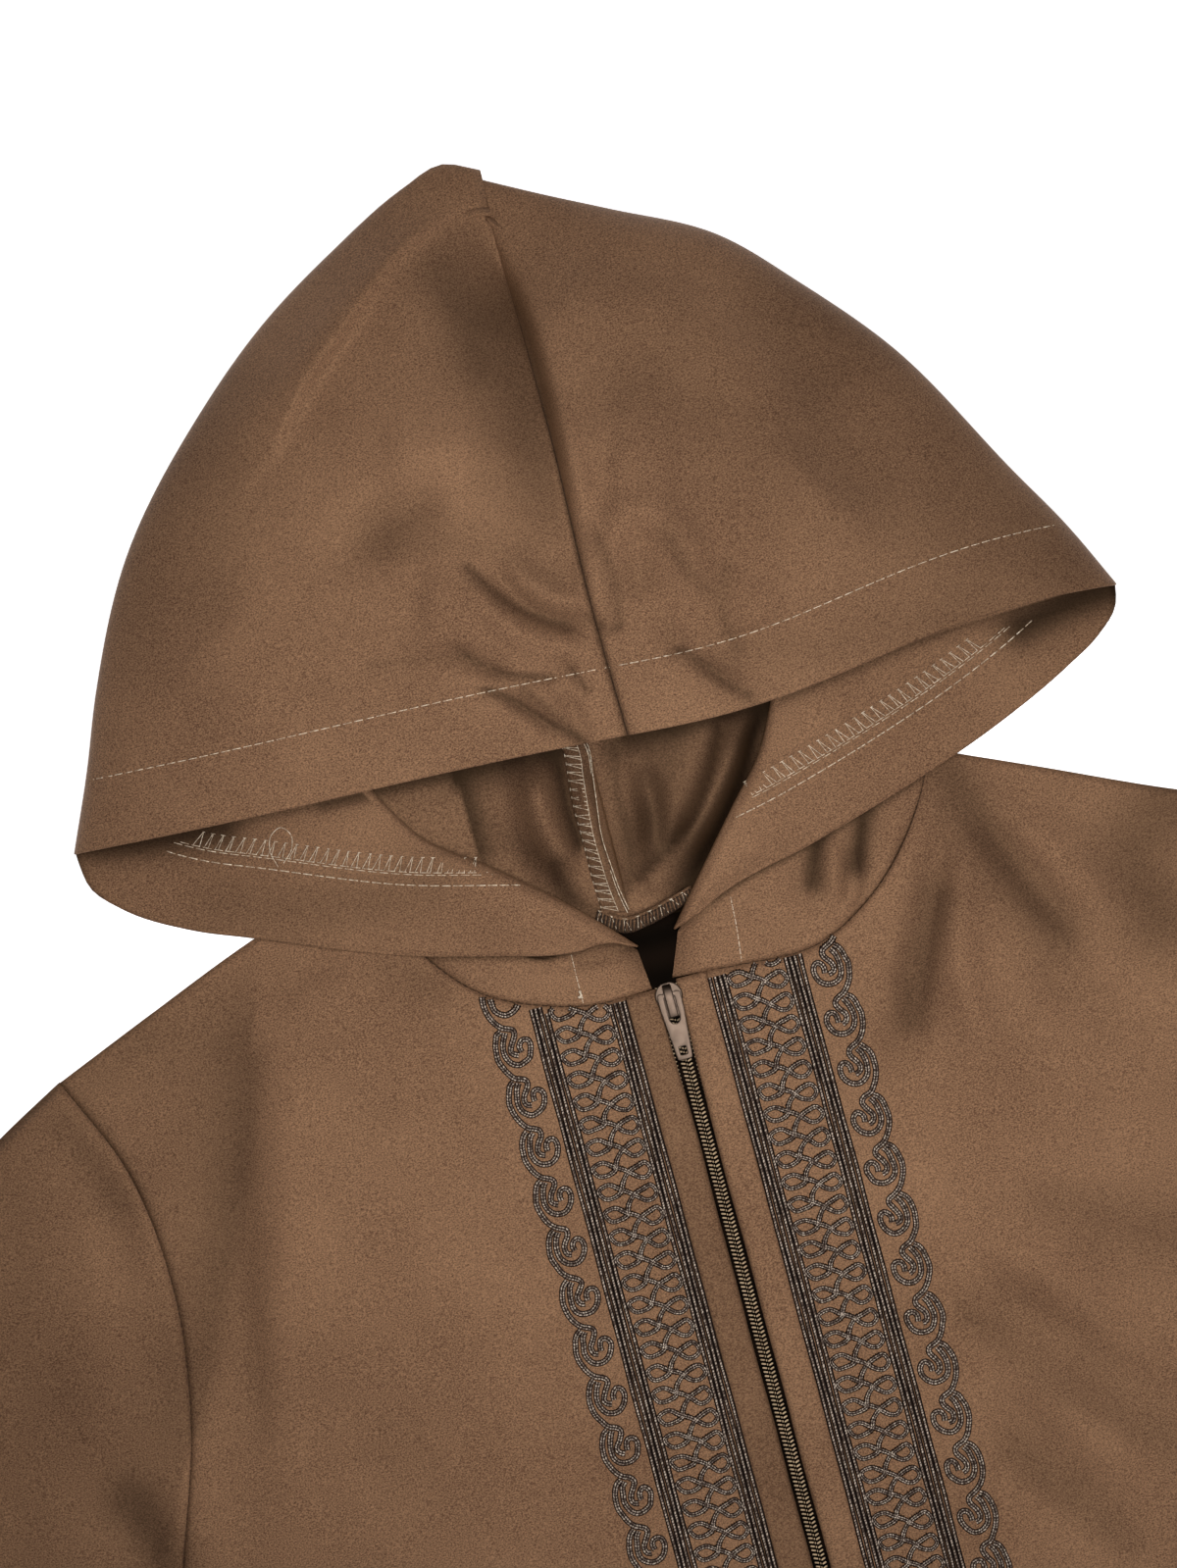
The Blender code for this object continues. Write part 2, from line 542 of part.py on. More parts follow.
# Soutache trim, measured outwards from the zip's centre line and down from the first repeat.
CORD_HEIGHT = 1.0
TRIM_RIM = 2.0
BAND_INNER = 16.6
BAND_OUTER = 54.0
CHAIN_PITCH = 9.05
CHAIN_START_Y = 5.2
CHAIN_GAPS = {
    "beside the scrolls": [(45.8, -7.0), (35.0, -5.2), (37.8, -9.2)],
    "beside the zip": [(24.6, -11.8), (34.8, -10.0), (31.6, -13.6)],
}
SCROLL_PITCH = 20.0
SCROLL_START_Y = -2.2
SCROLL_EDGE = [(63.0, 0.8), (68.6, -1.8), (71.0, -6.8), (69.6, -12.2), (65.2, -17.4)]
SCROLL_GAP = [(54.8, -12.5), (60.2, -15.0), (61.2, -20.0), (58.4, -23.6), (54.8, -25.6)]


def trim(side, finish):
    """Soutache trim: two bands of cord, a figure-eight chain between them, scrolls along the outer one."""
    sign = -1.0 if side == "left" else 1.0
    neck = through(FRONT_NECK[side], even(40))
    neck = neck[np.abs(neck[:, 0]) < BAND_OUTER + 12.0]
    head = [(abs(x), y - 3 * SEAM_GAP) for x, y in neck[::4]]
    head[0] = (BAND_INNER, head[0][1])
    scroll_count = int((SCROLL_START_Y - TRIM_END_Y) // SCROLL_PITCH)
    edge = []
    gaps = []
    for number in range(scroll_count):
        y = SCROLL_START_Y - number * SCROLL_PITCH
        edge += [(x, y + dy) for x, dy in SCROLL_EDGE]
        if number + 1 < scroll_count:
            gaps.append([(x, y + dy) for x, dy in SCROLL_GAP])
    foot = [(BAND_OUTER, edge[-1][1] - 3.0), (BAND_OUTER, TRIM_END_Y), (BAND_INNER, TRIM_END_Y)]
    for number in range(int(-TRIM_END_Y // CHAIN_PITCH)):
        y = CHAIN_START_Y - number * CHAIN_PITCH
        gaps += [[(x, y + dy) for x, dy in gap] for gap in CHAIN_GAPS.values()]
    # Only gaps that lie wholly between the neck and the trim's end.
    first = min(y for x, y in head if x < BAND_OUTER) - TRIM_RIM
    last = TRIM_END_Y + TRIM_RIM
    gaps = [gap for gap in gaps if all(last < y < first for x, y in gap)]

    def mirrored(line):
        return [(sign * x, y) for x, y in line]

    level = COVER_LEVEL + WALL / 2 + SEAM_GAP + CORD_HEIGHT / 2
    holes = [mirrored(gap) for gap in gaps]
    return cut_out("trim_" + side, mirrored(head + edge + foot), holes, CORD_HEIGHT, level, finish)


# Zip: coil on a tape, slider and pull tab.
ZIP_END_Y = -403.0
ZIP_START_Y = -1.2
TAPE_HALF_WIDTH = 13.0
TAPE_BASE = BACK_LEVEL + WALL / 2 + SEAM_GAP
TAPE_TOP = TAPE_BASE + 0.8
COIL_HALF_WIDTH = 2.75
COIL_TOP = 4.0
PLATE_BASE = COIL_TOP + SEAM_GAP
PLATE_TOP = PLATE_BASE + 1.3
BRIDGE_UNDERSIDE = PLATE_TOP + 2.3
BRIDGE_TOP = BRIDGE_UNDERSIDE + 1.2
BRIDGE_HALF_WIDTH = 1.3
PULL_THICKNESS = 1.2
PULL_AXIS_Y = -5.0
PULL_AXIS_Z = (PLATE_TOP + BRIDGE_UNDERSIDE) / 2
PULL_TILT = 0.044
PLATE_OUTLINE = [
    (0.0, -0.7), (2.6, -1.1), (4.3, -2.6), (4.8, -4.6), (4.3, -8.0), (3.7, -13.4), (0.0, -13.9),
]
BRIDGE_ARCH = [(-1.8, -0.6), (-2.1, 0.7), (-3.0, 1.0), (-11.4, 1.0), (-12.4, 0.6), (-12.8, -0.8)]
BRIDGE_WINDOW = (-3.4, -11.0)
PULL_OUTLINE = [
    (0.0, 0.75), (3.4, 0.75), (4.5, -0.4), (4.4, -6.0),
    (4.0, -10.5), (2.9, -24.4), (2.2, -25.6), (0.0, -26.0),
]
PULL_SLOT = [(1.75, -0.7), (1.75, -8.2), (0.9, -9.3)]
PULL_HOLE = [(1.1, -21.2), (1.1, -23.8)]


def both_sides(half):
    """A closed outline from its right half, top to bottom."""
    return half + [(-x, y) for x, y in reversed(half) if x > 0]


def prism(name, profile, start, end, axis, finish):
    """A closed profile carried straight along one axis, drawn in the other two."""
    shape = bmesh.new()
    order = {"x": (2, 0, 1), "y": (0, 2, 1), "z": (0, 1, 2)}[axis]
    corners = []
    for a, b in profile:
        values = (a, b, start)
        corners.append(shape.verts.new([values[n] * MM for n in order]))
    step = (end - start) * MM
    moved = bmesh.ops.extrude_face_region(shape, geom=[shape.faces.new(corners)])
    tips = [item for item in moved["geom"] if isinstance(item, bmesh.types.BMVert)]
    bmesh.ops.translate(shape, verts=tips, vec=[step if n == 2 else 0.0 for n in order])
    bmesh.ops.translate(shape, verts=shape.verts, vec=(0.0, -CENTRE_Y * MM, 0.0))
    bmesh.ops.recalc_face_normals(shape, faces=shape.faces)
    mesh = bpy.data.meshes.new(name)
    shape.to_mesh(mesh)
    shape.free()
    return place(name, mesh, finish)


def zip_tape(finish):
    coil = [(0.0, COIL_TOP - 0.4), (0.5, COIL_TOP), (2.0, COIL_TOP), (COIL_HALF_WIDTH, COIL_TOP - 0.7)]
    half = coil + [(COIL_HALF_WIDTH, TAPE_TOP), (TAPE_HALF_WIDTH, TAPE_TOP), (TAPE_HALF_WIDTH, TAPE_BASE)]
    return prism("zip", both_sides(half), ZIP_START_Y, ZIP_END_Y, "y", finish)


def slider(finish):
    """Slider: a plate over the coil, and the bridge that holds the pull."""
    plate = prism("zip_slider", both_sides(PLATE_OUTLINE), PLATE_BASE, PLATE_TOP, "z", finish)
    # The bridge's feet reach into the plate, where the two are joined.
    foot = PLATE_TOP - 0.5
    rise = BRIDGE_TOP - BRIDGE_UNDERSIDE
    arch = [(y, BRIDGE_UNDERSIDE + share * rise) for y, share in BRIDGE_ARCH]
    start, end = BRIDGE_WINDOW
    window = [(end, foot), (end, BRIDGE_UNDERSIDE), (start, BRIDGE_UNDERSIDE), (start, foot)]
    profile = [(arch[0][0], foot)] + arch + [(arch[-1][0], foot)] + window
    bridge = prism("bridge", profile, -BRIDGE_HALF_WIDTH, BRIDGE_HALF_WIDTH, "x", finish)
    bridge.hide_render = True
    bridge.display_type = "WIRE"
    joined = plate.modifiers.new("bridge", "BOOLEAN")
    joined.operation = "UNION"
    joined.object = bridge
    return plate


def pull(finish):
    """Pull tab, hung by its cross bar under the bridge. Its origin is on the bar's axis."""
    holes = [both_sides(PULL_SLOT), both_sides(PULL_HOLE)]
    made = cut_out("zip_pull", both_sides(PULL_OUTLINE), holes, PULL_THICKNESS, PULL_AXIS_Z, finish)
    made.location = (0.0, (PULL_AXIS_Y - CENTRE_Y) * MM, PULL_AXIS_Z * MM)
    made.rotation_euler = (PULL_TILT, 0.0, 0.0)
    return made


for old in list(bpy.data.objects):
    bpy.data.objects.remove(old)

brown = (0.196, 0.107, 0.054)
dark_cord = (0.048, 0.031, 0.022)
nickel = (0.50, 0.46, 0.40)
for side in ("left", "right"):
    front(side, material("brown_cloth_front_" + side, brown, 0.9))
    sleeve(side, material("brown_cloth_sleeve_" + side, brown, 0.9))
    hood(side, material("brown_cloth_hood_" + side, brown, 0.9))
    placket(side, material("brown_cloth_placket_" + side, brown, 0.9))
    trim(side, material("soutache_cord_" + side, dark_cord, 0.7))
back(material("brown_cloth_back", brown, 0.9))
zip_tape(material("zip_coil_and_tape", (0.11, 0.07, 0.04), 0.6))
slider(material("nickel_slider", nickel, 0.35, 1.0))
pull(material("nickel_pull", nickel, 0.35, 1.0))
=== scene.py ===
"""Djellaba: a hooded full-length robe with a zip front and soutache trim, laid flat on its back.

The tables are in millimetres: x across the robe, y up from the top of the zip, z up from the table it lies on.
"""

import bmesh
import bpy
import numpy as np
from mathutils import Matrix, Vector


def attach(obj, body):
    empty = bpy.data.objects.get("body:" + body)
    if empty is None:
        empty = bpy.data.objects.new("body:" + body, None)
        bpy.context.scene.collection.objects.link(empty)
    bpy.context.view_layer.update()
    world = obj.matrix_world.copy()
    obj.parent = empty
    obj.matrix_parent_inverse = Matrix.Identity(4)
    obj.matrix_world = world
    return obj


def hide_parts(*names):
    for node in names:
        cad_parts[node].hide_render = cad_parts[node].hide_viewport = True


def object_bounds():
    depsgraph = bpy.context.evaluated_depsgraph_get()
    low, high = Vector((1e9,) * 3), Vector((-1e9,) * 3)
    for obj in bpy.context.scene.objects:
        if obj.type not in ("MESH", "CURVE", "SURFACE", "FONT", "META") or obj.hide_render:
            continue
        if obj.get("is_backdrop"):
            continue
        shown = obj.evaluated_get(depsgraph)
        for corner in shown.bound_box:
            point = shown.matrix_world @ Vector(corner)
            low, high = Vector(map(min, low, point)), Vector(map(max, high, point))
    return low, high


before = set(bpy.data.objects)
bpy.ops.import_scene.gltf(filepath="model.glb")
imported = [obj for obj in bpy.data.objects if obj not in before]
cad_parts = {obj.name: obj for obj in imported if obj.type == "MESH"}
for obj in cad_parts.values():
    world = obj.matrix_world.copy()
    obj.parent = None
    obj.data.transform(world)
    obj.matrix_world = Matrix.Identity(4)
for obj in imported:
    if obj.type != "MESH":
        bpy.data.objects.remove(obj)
cad_low, cad_high = (list(corner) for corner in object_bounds())

# ---- Table, light and camera ----
# A plain white table under a soft oval light hung close over the zip, with a large fill from the head end and
# another over the skirt. The camera looks straight down on the hood and the top of the zip, turned 15 degrees.
CENTRE_Y = -500.65


def world_point(x, y, z):
    """Millimetres from the top of the zip to metres from the robe's middle."""
    return np.stack([x, y - CENTRE_Y, z], axis=-1) * 0.001


def linear(hex_colour):
    """sRGB hex, as in "7a5c42", to linear red, green, blue and alpha."""
    value = np.array([int(hex_colour[n : n + 2], 16) for n in (0, 2, 4)]) / 255.0
    value = np.where(value <= 0.04045, value / 12.92, ((value + 0.055) / 1.055) ** 2.4)
    return (*value.tolist(), 1.0)


def add_node(tree, kind, settings=None, **links):
    """Adds a node. Settings go to its attributes or sockets, links come from other nodes' outputs."""
    node = tree.nodes.new(kind)
    for name, value in (settings or {}).items():
        if isinstance(name, int) or name in node.inputs:
            node.inputs[name].default_value = value
        else:
            setattr(node, name, value)
    for name, output in links.items():
        place = int(name[1:]) if name[0] == "_" and name[1:].isdigit() else name.replace("_", " ")
        tree.links.new(output, node.inputs[place])
    return node


def new_material(name, settings):
    """A material with its node tree and its Principled shader, whose sockets get the settings."""
    made = bpy.data.materials.new(name)
    made.use_nodes = True
    shader = made.node_tree.nodes["Principled BSDF"]
    for socket, value in settings.items():
        shader.inputs[socket].default_value = value
    return made, made.node_tree, shader


def add_object(name, data):
    """An object of that name and data, in the scene."""
    made = bpy.data.objects.new(name, data)
    bpy.context.scene.collection.objects.link(made)
    return made


white = (1.0, 1.0, 1.0, 1.0)
# Laminate table top: matt white, so it gives the cloth a soft bounce from below.
table_white = new_material(
    "white_laminate",
    {"Roughness": 0.6, "Base Color": linear("f7f7f7"), "Emission Color": white, "Emission Strength": 0.9},
)[0]
half_width, table_drop = 6.0, -0.0004
corners = [(x * half_width, y * half_width, table_drop) for x, y in ((-1, -1), (1, -1), (1, 1), (-1, 1))]
mesh = bpy.data.meshes.new("table")
mesh.from_pydata(corners, [], [(0, 1, 2, 3)])
mesh.materials.append(table_white)
table = add_object("table", mesh)
table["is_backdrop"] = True

sky = bpy.data.worlds.new("studio")
sky.use_nodes = True
sky.node_tree.nodes["Background"].inputs["Color"].default_value = white
sky.node_tree.nodes["Background"].inputs["Strength"].default_value = 0.14
bpy.context.scene.world = sky
lit_place = np.array([0.0, 0.58, 0.0])
for name, place, size, power in (
    ("key_light", (0.04, 0.50, 0.62), (0.20, 0.50), 4.6),
    ("fill_light", (0.1, 1.5, 2.0), (1.0, 1.0), 4.6),
    ("skirt_light", (0.0, -0.5, 1.5), (1.2, 1.0), 3.8),
):
    lamp = bpy.data.lights.new(name, "AREA")
    lamp.shape = "ELLIPSE"
    lamp.size, lamp.size_y = size
    lamp.energy = power
    light = add_object(name, lamp)
    light.location = place
    aim = lit_place - place
    tilt = np.arctan2(np.hypot(aim[0], aim[1]), -aim[2])
    light.rotation_euler = (tilt, 0.0, np.arctan2(aim[1], aim[0]) - np.pi / 2)

view_height, view_span, cloth_height = 2.6, 0.608, 0.006
lens_data = bpy.data.cameras.new("camera")
lens_data.sensor_fit = "VERTICAL"
lens_data.sensor_height = 36.0
lens_data.lens = lens_data.sensor_height * (view_height - cloth_height) / view_span
camera = add_object("camera", lens_data)
camera.location = (-0.0088, 0.5825, view_height)
camera.rotation_euler = (0.0, 0.0, np.radians(-15.0))
bpy.context.scene.camera = camera
bpy.context.scene.view_settings.view_transform = "Standard"

# ---- Back panel ----
# One flat piece under the fronts, cut to the shape of the whole robe without sleeves and hood. It is the same
# light polyester peach-skin cloth as the rest: dense plain weave, sueded on the face. Its underside lies flat.
SIGN = {"left": -1.0, "right": 1.0}


def both_sides(points):
    """A line of the right half, and its mirror image for the left."""
    return {side: [(sign * x, y) for x, y in points] for side, sign in SIGN.items()}


# Seams of each side, from the neck outwards or downwards: (x, y).
BACK_NECK = {
    "left": [(-7, 27.4), (-20, 27.9), (-52, 35), (-82, 51), (-104, 71)],
    "right": [(-7, 27.4), (10, 29), (30, 31.5), (62, 37), (97, 49), (122, 61)],
}
SHOULDER = {
    "left": [(-104, 71), (-151.4, 56.8), (-196, 39.5), (-237.2, 22.8)],
    "right": [(122, 61), (160, 44), (210.7, 21), (237.2, 10.5)],
}
ARMHOLE = {
    "left": [
        (-237.2, 22.8), (-220.6, -16.7), (-214.9, -67.5), (-222.3, -119.8), (-238.8, -169.7),
        (-264, -243),
    ],
    "right": [
        (237.2, 10.5), (221.5, -22), (215.4, -69), (222.5, -121), (238.8, -170),
        (264, -243),
    ],
}
SIDE_SEAM = both_sides([(264, -243), (277, -345), (318, -760), (370, -1314)])
HEM = both_sides([(370, -1314), (190, -1327), (0, -1330)])


def smooth(value):
    """0 below 0, 1 above 1, and a soft step between."""
    clipped = np.clip(value, 0.0, 1.0)
    return clipped * clipped * (3.0 - 2.0 * clipped)


def even(count):
    """Shares from 0 to 1 in that many equal steps."""
    return np.linspace(0.0, 1.0, count + 1)


def unit(vectors):
    """Each vector divided by its own length."""
    return vectors / np.linalg.norm(vectors, axis=1)[:, None]


def run_along(line):
    """Length along a line from its start to each of its points."""
    return np.concatenate([[0.0], np.cumsum(np.linalg.norm(np.diff(line, axis=0), axis=1))])


def through(points, shares):
    """Points at the given shares of the length of a smooth (cubic Hermite) curve through the points."""
    knots = np.array(points, float)
    chord = run_along(knots)
    slope = np.gradient(knots, chord, axis=0)
    place = np.asarray(shares, float) * chord[-1]
    index = np.clip(np.searchsorted(chord, place, side="right") - 1, 0, len(chord) - 2)
    span = (chord[index + 1] - chord[index])[:, None]
    part = (place - chord[index])[:, None] / span
    start = (2 * part**3 - 3 * part**2 + 1) * knots[index]
    start += (part**3 - 2 * part**2 + part) * span * slope[index]
    end = (3 * part**2 - 2 * part**3) * knots[index + 1] + (part**3 - part**2) * span * slope[index + 1]
    return start + end


def offset(line, distance):
    """The same open line moved sideways, to the left of its own direction."""
    along = unit(np.gradient(line, axis=0))
    return line + distance * np.stack([-along[:, 1], along[:, 0]], axis=1)


def patch(head, foot, inner, outer, across, down):
    """Points blended from four edges (a Coons patch): head to foot, plus inner to outer, less the corners blended.

    Across are the shares of the points of head and foot, down those of inner and outer.
    """
    u, v = across[None, :, None], down[:, None, None]
    corners = (1 - v) * ((1 - u) * head[0] + u * head[-1]) + v * ((1 - u) * foot[0] + u * foot[-1])
    return (1 - v) * head[None] + v * foot[None] + (1 - u) * inner[:, None] + u * outer[:, None] - corners


def panel_plan(side, neck, parts):
    """Plan of half a panel: a patch between its neck and shoulder, hem, centre line, and armhole and side.

    The parts are the cells of the neck, shoulder, armhole and side.
    """
    lines = (neck, SHOULDER[side], ARMHOLE[side], SIDE_SEAM[side])
    collar, shoulder, armhole, seam = (through(line, even(part)) for line, part in zip(lines, parts))
    head = np.concatenate([collar, shoulder[1:]])
    outer = np.concatenate([armhole, seam[1:]])
    across = run_along(head)
    across /= across[-1]
    hem = HEM[side][::-1]
    start = abs(head[0, 0]) / run_along(hem)[-1]
    foot = through(hem, start + (1 - start) * across)
    foot[0, 0] = head[0, 0]
    down = (outer[:, 1] - outer[0, 1]) / (outer[-1, 1] - outer[0, 1])
    inner_y = head[0, 1] + down * (foot[0, 1] - head[0, 1])
    inner = np.stack([np.full(len(down), head[0, 0]), inner_y], axis=1)
    return patch(head, foot, inner, outer, across, down)


def new_piece(name, points, faces, finish, body, nodes, slot):
    """A smooth-shaded piece from points in millimetres, riding on its body in place of its CAD nodes, if it has any."""
    mesh = bpy.data.meshes.new(name)
    mesh.from_pydata(world_point(*np.asarray(points).T).tolist(), [], faces)
    mesh.polygons.foreach_set("use_smooth", np.ones(len(mesh.polygons), bool))
    mesh.materials.append(finish)
    piece = add_object(name, mesh)
    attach(piece, body)
    if nodes is not None:
        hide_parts(*nodes)
    return piece


def noise(tree, scale, detail, place=None, roughness=0.5):
    """Even noise, from 0 to 1, with that many grains a metre where no place is given."""
    place = place or add_node(tree, "ShaderNodeTexCoord").outputs["Object"]
    settings = {"Scale": scale, "Detail": detail, "Roughness": roughness}
    return add_node(tree, "ShaderNodeTexNoise", settings, Vector=place).outputs["Fac"]


def maths(tree, operation, *values):
    """The result of a Math node. Each value is a number or another node's output."""
    numbers = {place: value for place, value in enumerate(values) if isinstance(value, float)}
    links = {f"_{place}": value for place, value in enumerate(values) if place not in numbers}
    return add_node(tree, "ShaderNodeMath", {"operation": operation, **numbers}, **links).outputs[0]


def remap(tree, value, low, high, to_low=0.0, to_high=1.0):
    """The value taken from between low and high to between to_low and to_high, and held there beyond them."""
    return add_node(tree, "ShaderNodeMapRange", {1: low, 2: high, 3: to_low, 4: to_high}, _0=value).outputs[0]


def ramp(tree, value, first, last, middle=None):
    """A colour for each value, from stops of a position and an sRGB hex."""
    node = add_node(tree, "ShaderNodeValToRGB", Fac=value)
    elements = node.color_ramp.elements
    for element, (position, colour) in zip(elements, (first, last)):
        element.position, element.color = position, linear(colour)
    if middle:
        elements.new(middle[0]).color = linear(middle[1])
    return node.outputs["Color"]


def blend(tree, share, colour, other):
    """The colour, going over to another, an sRGB hex, by the share."""
    return add_node(tree, "ShaderNodeMix", {"data_type": "RGBA", 7: linear(other)}, _0=share, _6=colour).outputs[2]


def finish_with(tree, shader, colour, height=None, strength=0.0, depth=0.0):
    """Gives the shader its colour, and a bump of that strength and depth in metres where there is a height."""
    tree.links.new(colour, shader.inputs["Base Color"])
    if height:
        bump = add_node(tree, "ShaderNodeBump", {"Strength": strength, "Distance": depth}, Height=height)
        tree.links.new(bump.outputs[0], shader.inputs["Normal"])


# Sueded polyester plain weave: no gloss, a soft sheen at grazing angles, and flecks a little longer along the
# weft. The threads are 0.12 mm apart, too fine to show, so the weave is drawn as flecks 0.5 by 0.7 mm. A point's
# painted shade, from 0 to 1, blends the cloth towards near black: painted shade for its deep folds, for the places
# under the edges of layers above, and for the inside of the neck.
brown_cloth, tree, shader = new_material(
    "brown_peachskin_polyester",
    {
        "Roughness": 0.60,
        "Sheen Weight": 0.10,
        "Sheen Roughness": 0.5,
        "Sheen Tint": linear("c08a5c"),
        "Specular IOR Level": 0.22,
        "Specular Tint": linear("e8b888"),
    },
)
flecks_a_metre = (1500.0, 1900.0, 1700.0)
place = add_node(tree, "ShaderNodeTexCoord").outputs["Object"]
weft = add_node(tree, "ShaderNodeMapping", {"Scale": flecks_a_metre}, Vector=place)
slub = noise(tree, 1.0, 2.0, weft.outputs[0], 0.6)
nap = maths(tree, "MULTIPLY", noise(tree, 14.0, 3.0), 0.22)
mottled = ramp(tree, maths(tree, "MULTIPLY_ADD", slub, 0.78, nap), (0.34, "452f23"), (0.66, "86664d"))
# Painted shade: the cloth's colour goes towards near black by each point's painted shade.
painted_shade = add_node(tree, "ShaderNodeAttribute", {"attribute_name": "painted_shade"}).outputs["Fac"]
finish_with(tree, shader, blend(tree, painted_shade, mottled, "0a0604"), slub, 0.35, 0.0002)


def cloth_piece(
    name, grid, nodes, cells=None, wrap=False, thickness=0.7, depth=None, finish=brown_cloth, slot="brown_cloth"
):
    """A thin wall of cloth on a grid of points in millimetres, in place of its CAD nodes.

    Depth is each point's painted shade, from 0 to 1. Only the cells that are true are kept, and a wrapped grid is a
    tube.
    """
    rows, columns = grid.shape[:2]
    index = np.arange(rows * columns).reshape(rows, columns)
    right = np.roll(index, -1, axis=1) if wrap else index[:, 1:]
    left = index if wrap else index[:, :-1]
    quads = np.stack([left[:-1], right[:-1], right[1:], left[1:]], axis=-1)
    quads = quads.reshape(-1, 4) if cells is None else quads[cells]
    used, quads = np.unique(quads, return_inverse=True)
    piece = new_piece(name, grid.reshape(-1, 3)[used], quads.reshape(-1, 4).tolist(), finish, "robe", nodes, slot)
    if depth is not None:
        # Painted shade, kept on each point for the cloth's material to darken it.
        painted_shade = piece.data.attributes.new("painted_shade", "FLOAT", "POINT")
        painted_shade.data.foreach_set("value", np.clip(depth.reshape(-1)[used], 0, 1))
    wall = piece.modifiers.new("wall", "SOLIDIFY")
    wall.thickness = thickness * 0.001
    wall.offset = 0.0
    return piece


back_level = 0.5
halves = [panel_plan(side, BACK_NECK[side], (14, 14, 30, 40)) for side in SIGN]
back_plan = np.concatenate([halves[0][:, ::-1], halves[1][:, 1:]], axis=1)
back_grid = np.dstack([back_plan, np.full(back_plan.shape[:2], back_level)])
x, y = back_plan[..., 0], back_plan[..., 1]
# Painted shade on the back around the neck, seen in the gap between the collar and the zip.
neck_painted_shade = smooth((32.0 - np.abs(x - 3.0)) / 12.0) * smooth((y + 60.0) / 40.0)
back = cloth_piece("back_panel", back_grid, ["back"], depth=neck_painted_shade)

# ---- Front panels ----
# Two fronts of the same cloth, one each side of the zip, sewn together below it. They lie on the back with
# soft folds from the shoulders and wider ones down the skirt. Seams pull the cloth down into a shallow groove.
FRONT_NECK = {
    "left": [
        (-16.35, -1.9), (-25.9, -2), (-48, 3.2), (-70, 13.8), (-87.9, 34), (-98, 52),
        (-104, 71),
    ],
    "right": [
        (16.35, -0.1), (30, -1.2), (61.6, -1.2), (86.1, 11.6), (107, 33), (117.7, 50.5),
        (122, 61),
    ],
}
SLEEVE_TOP = {
    "left": [
        (-237.2, 22.8), (-264.8, 7.7), (-330, -38), (-420, -135), (-520, -262),
        (-612, -382),
    ],
    "right": [
        (237.2, 10.5), (264.8, -3), (330, -43), (420, -136), (520, -262),
        (612, -382),
    ],
}
SLEEVE_UNDER = both_sides([(264, -243), (312, -312), (390, -408), (466, -497)])
# Soft folds: points along each, half widths to the left and right of its run, and height. The last eight are
# the long folds of the skirt and sleeves.
FOLDS = [
    ([(-162.9, 16.3), (-178.7, -20.3), (-187.9, -60.8), (-196.7, -109.9), (-204.3, -150.8)], 9, 15, -5),
    ([(-152.5, 7.1), (-163, -41.7), (-180.4, -97.1)], 14, 8, 2.4),
    ([(-151.2, 23), (-121.2, 30.9), (-90.2, 31.2)], 12, 9, 3),
    ([(-155.3, 40), (-114.5, 39.8)], 10, 10, -2.5),
    ([(-216.6, 11.4), (-181.1, 31.9), (-152.2, 43.5)], 14, 14, -2.5),
    ([(-128.5, -12.2), (-125.9, -34.4)], 14, 14, -1.6),
    ([(-168.2, -160.5), (-127.9, -154.1)], 18, 18, -2),
    ([(-242, -3.3), (-231.4, -27.6), (-230.9, -57.8)], 10, 10, -3),
    ([(-260.8, -41.2), (-249.3, -78.6), (-241.9, -115)], 18, 18, 0.8),
    ([(-259, -146.9), (-241.2, -160.3)], 12, 12, -3),
    ([(-285.4, -69), (-269.9, -107.5), (-268.7, -150.7)], 18, 18, -1),
    ([(121.8, 32.3), (108, 1.7), (92.6, -28.5), (84.1, -52)], 6, 8, -5.5),
    ([(127.1, 20.2), (114.2, -8.6), (111.5, -37.9), (115.1, -64.6)], 8, 8, 4),
    ([(131.4, 36.2), (144, 11.3), (153.2, -10.4), (162.6, -23.7)], 7, 7, -5),
    ([(144.9, 30.4), (163.5, 4), (181.1, -26.5)], 10, 10, 3.2),
    ([(138.9, -23.8), (154.1, -47.2), (171.5, -62.6)], 9, 9, -2.5),
    ([(91.8, -71.3), (121.8, -87.9), (152.7, -100.5)], 20, 20, 2),
    ([(122.1, -126.6), (141.8, -141.3), (164.4, -153), (196, -160)], 9, 12, -4),
    ([(82.7, -137.5), (105.9, -163.1), (128.6, -190.6), (148.3, -213.1)], 9, 13, -4),
    ([(89.9, -126.6), (115.7, -150.7), (140.9, -176.7)], 10, 10, 2.8),
    ([(80.9, -184.3), (97.4, -218.8), (116.5, -251.8)], 10, 14, -3.5),
    ([(90.1, -173.9), (111.7, -205.4), (132.3, -241)], 10, 10, 2.4),
    ([(73.8, -10.6), (73.3, -36.3), (75.8, -67)], 7, 7, -1.5),
    ([(196, -6), (206, -60), (198, -120)], 16, 16, 2.5),
    ([(236, -180), (192, -258)], 9, 9, 1.8),
    ([(-236, -180), (-190, -262)], 9, 9, 1.8),
    ([(250, -40), (318, -160)], 24, 24, 4.5),
    ([(-330, -130), (-410, -240), (-470, -340)], 26, 26, 5),
    ([(345, -120), (420, -215), (480, -320)], 24, 24, 5),
    ([(-118, -240), (-132, -420)], 26, 26, 3),
    ([(-210, -330), (-226, -760), (-262, -1210)], 30, 30, 7),
    ([(-112, -560), (-118, -900), (-140, -1300)], 28, 28, 6),
    ([(128, -420), (146, -800), (150, -1270)], 30, 30, 7),
    ([(232, -360), (256, -800), (290, -1180)], 28, 28, 6),
]
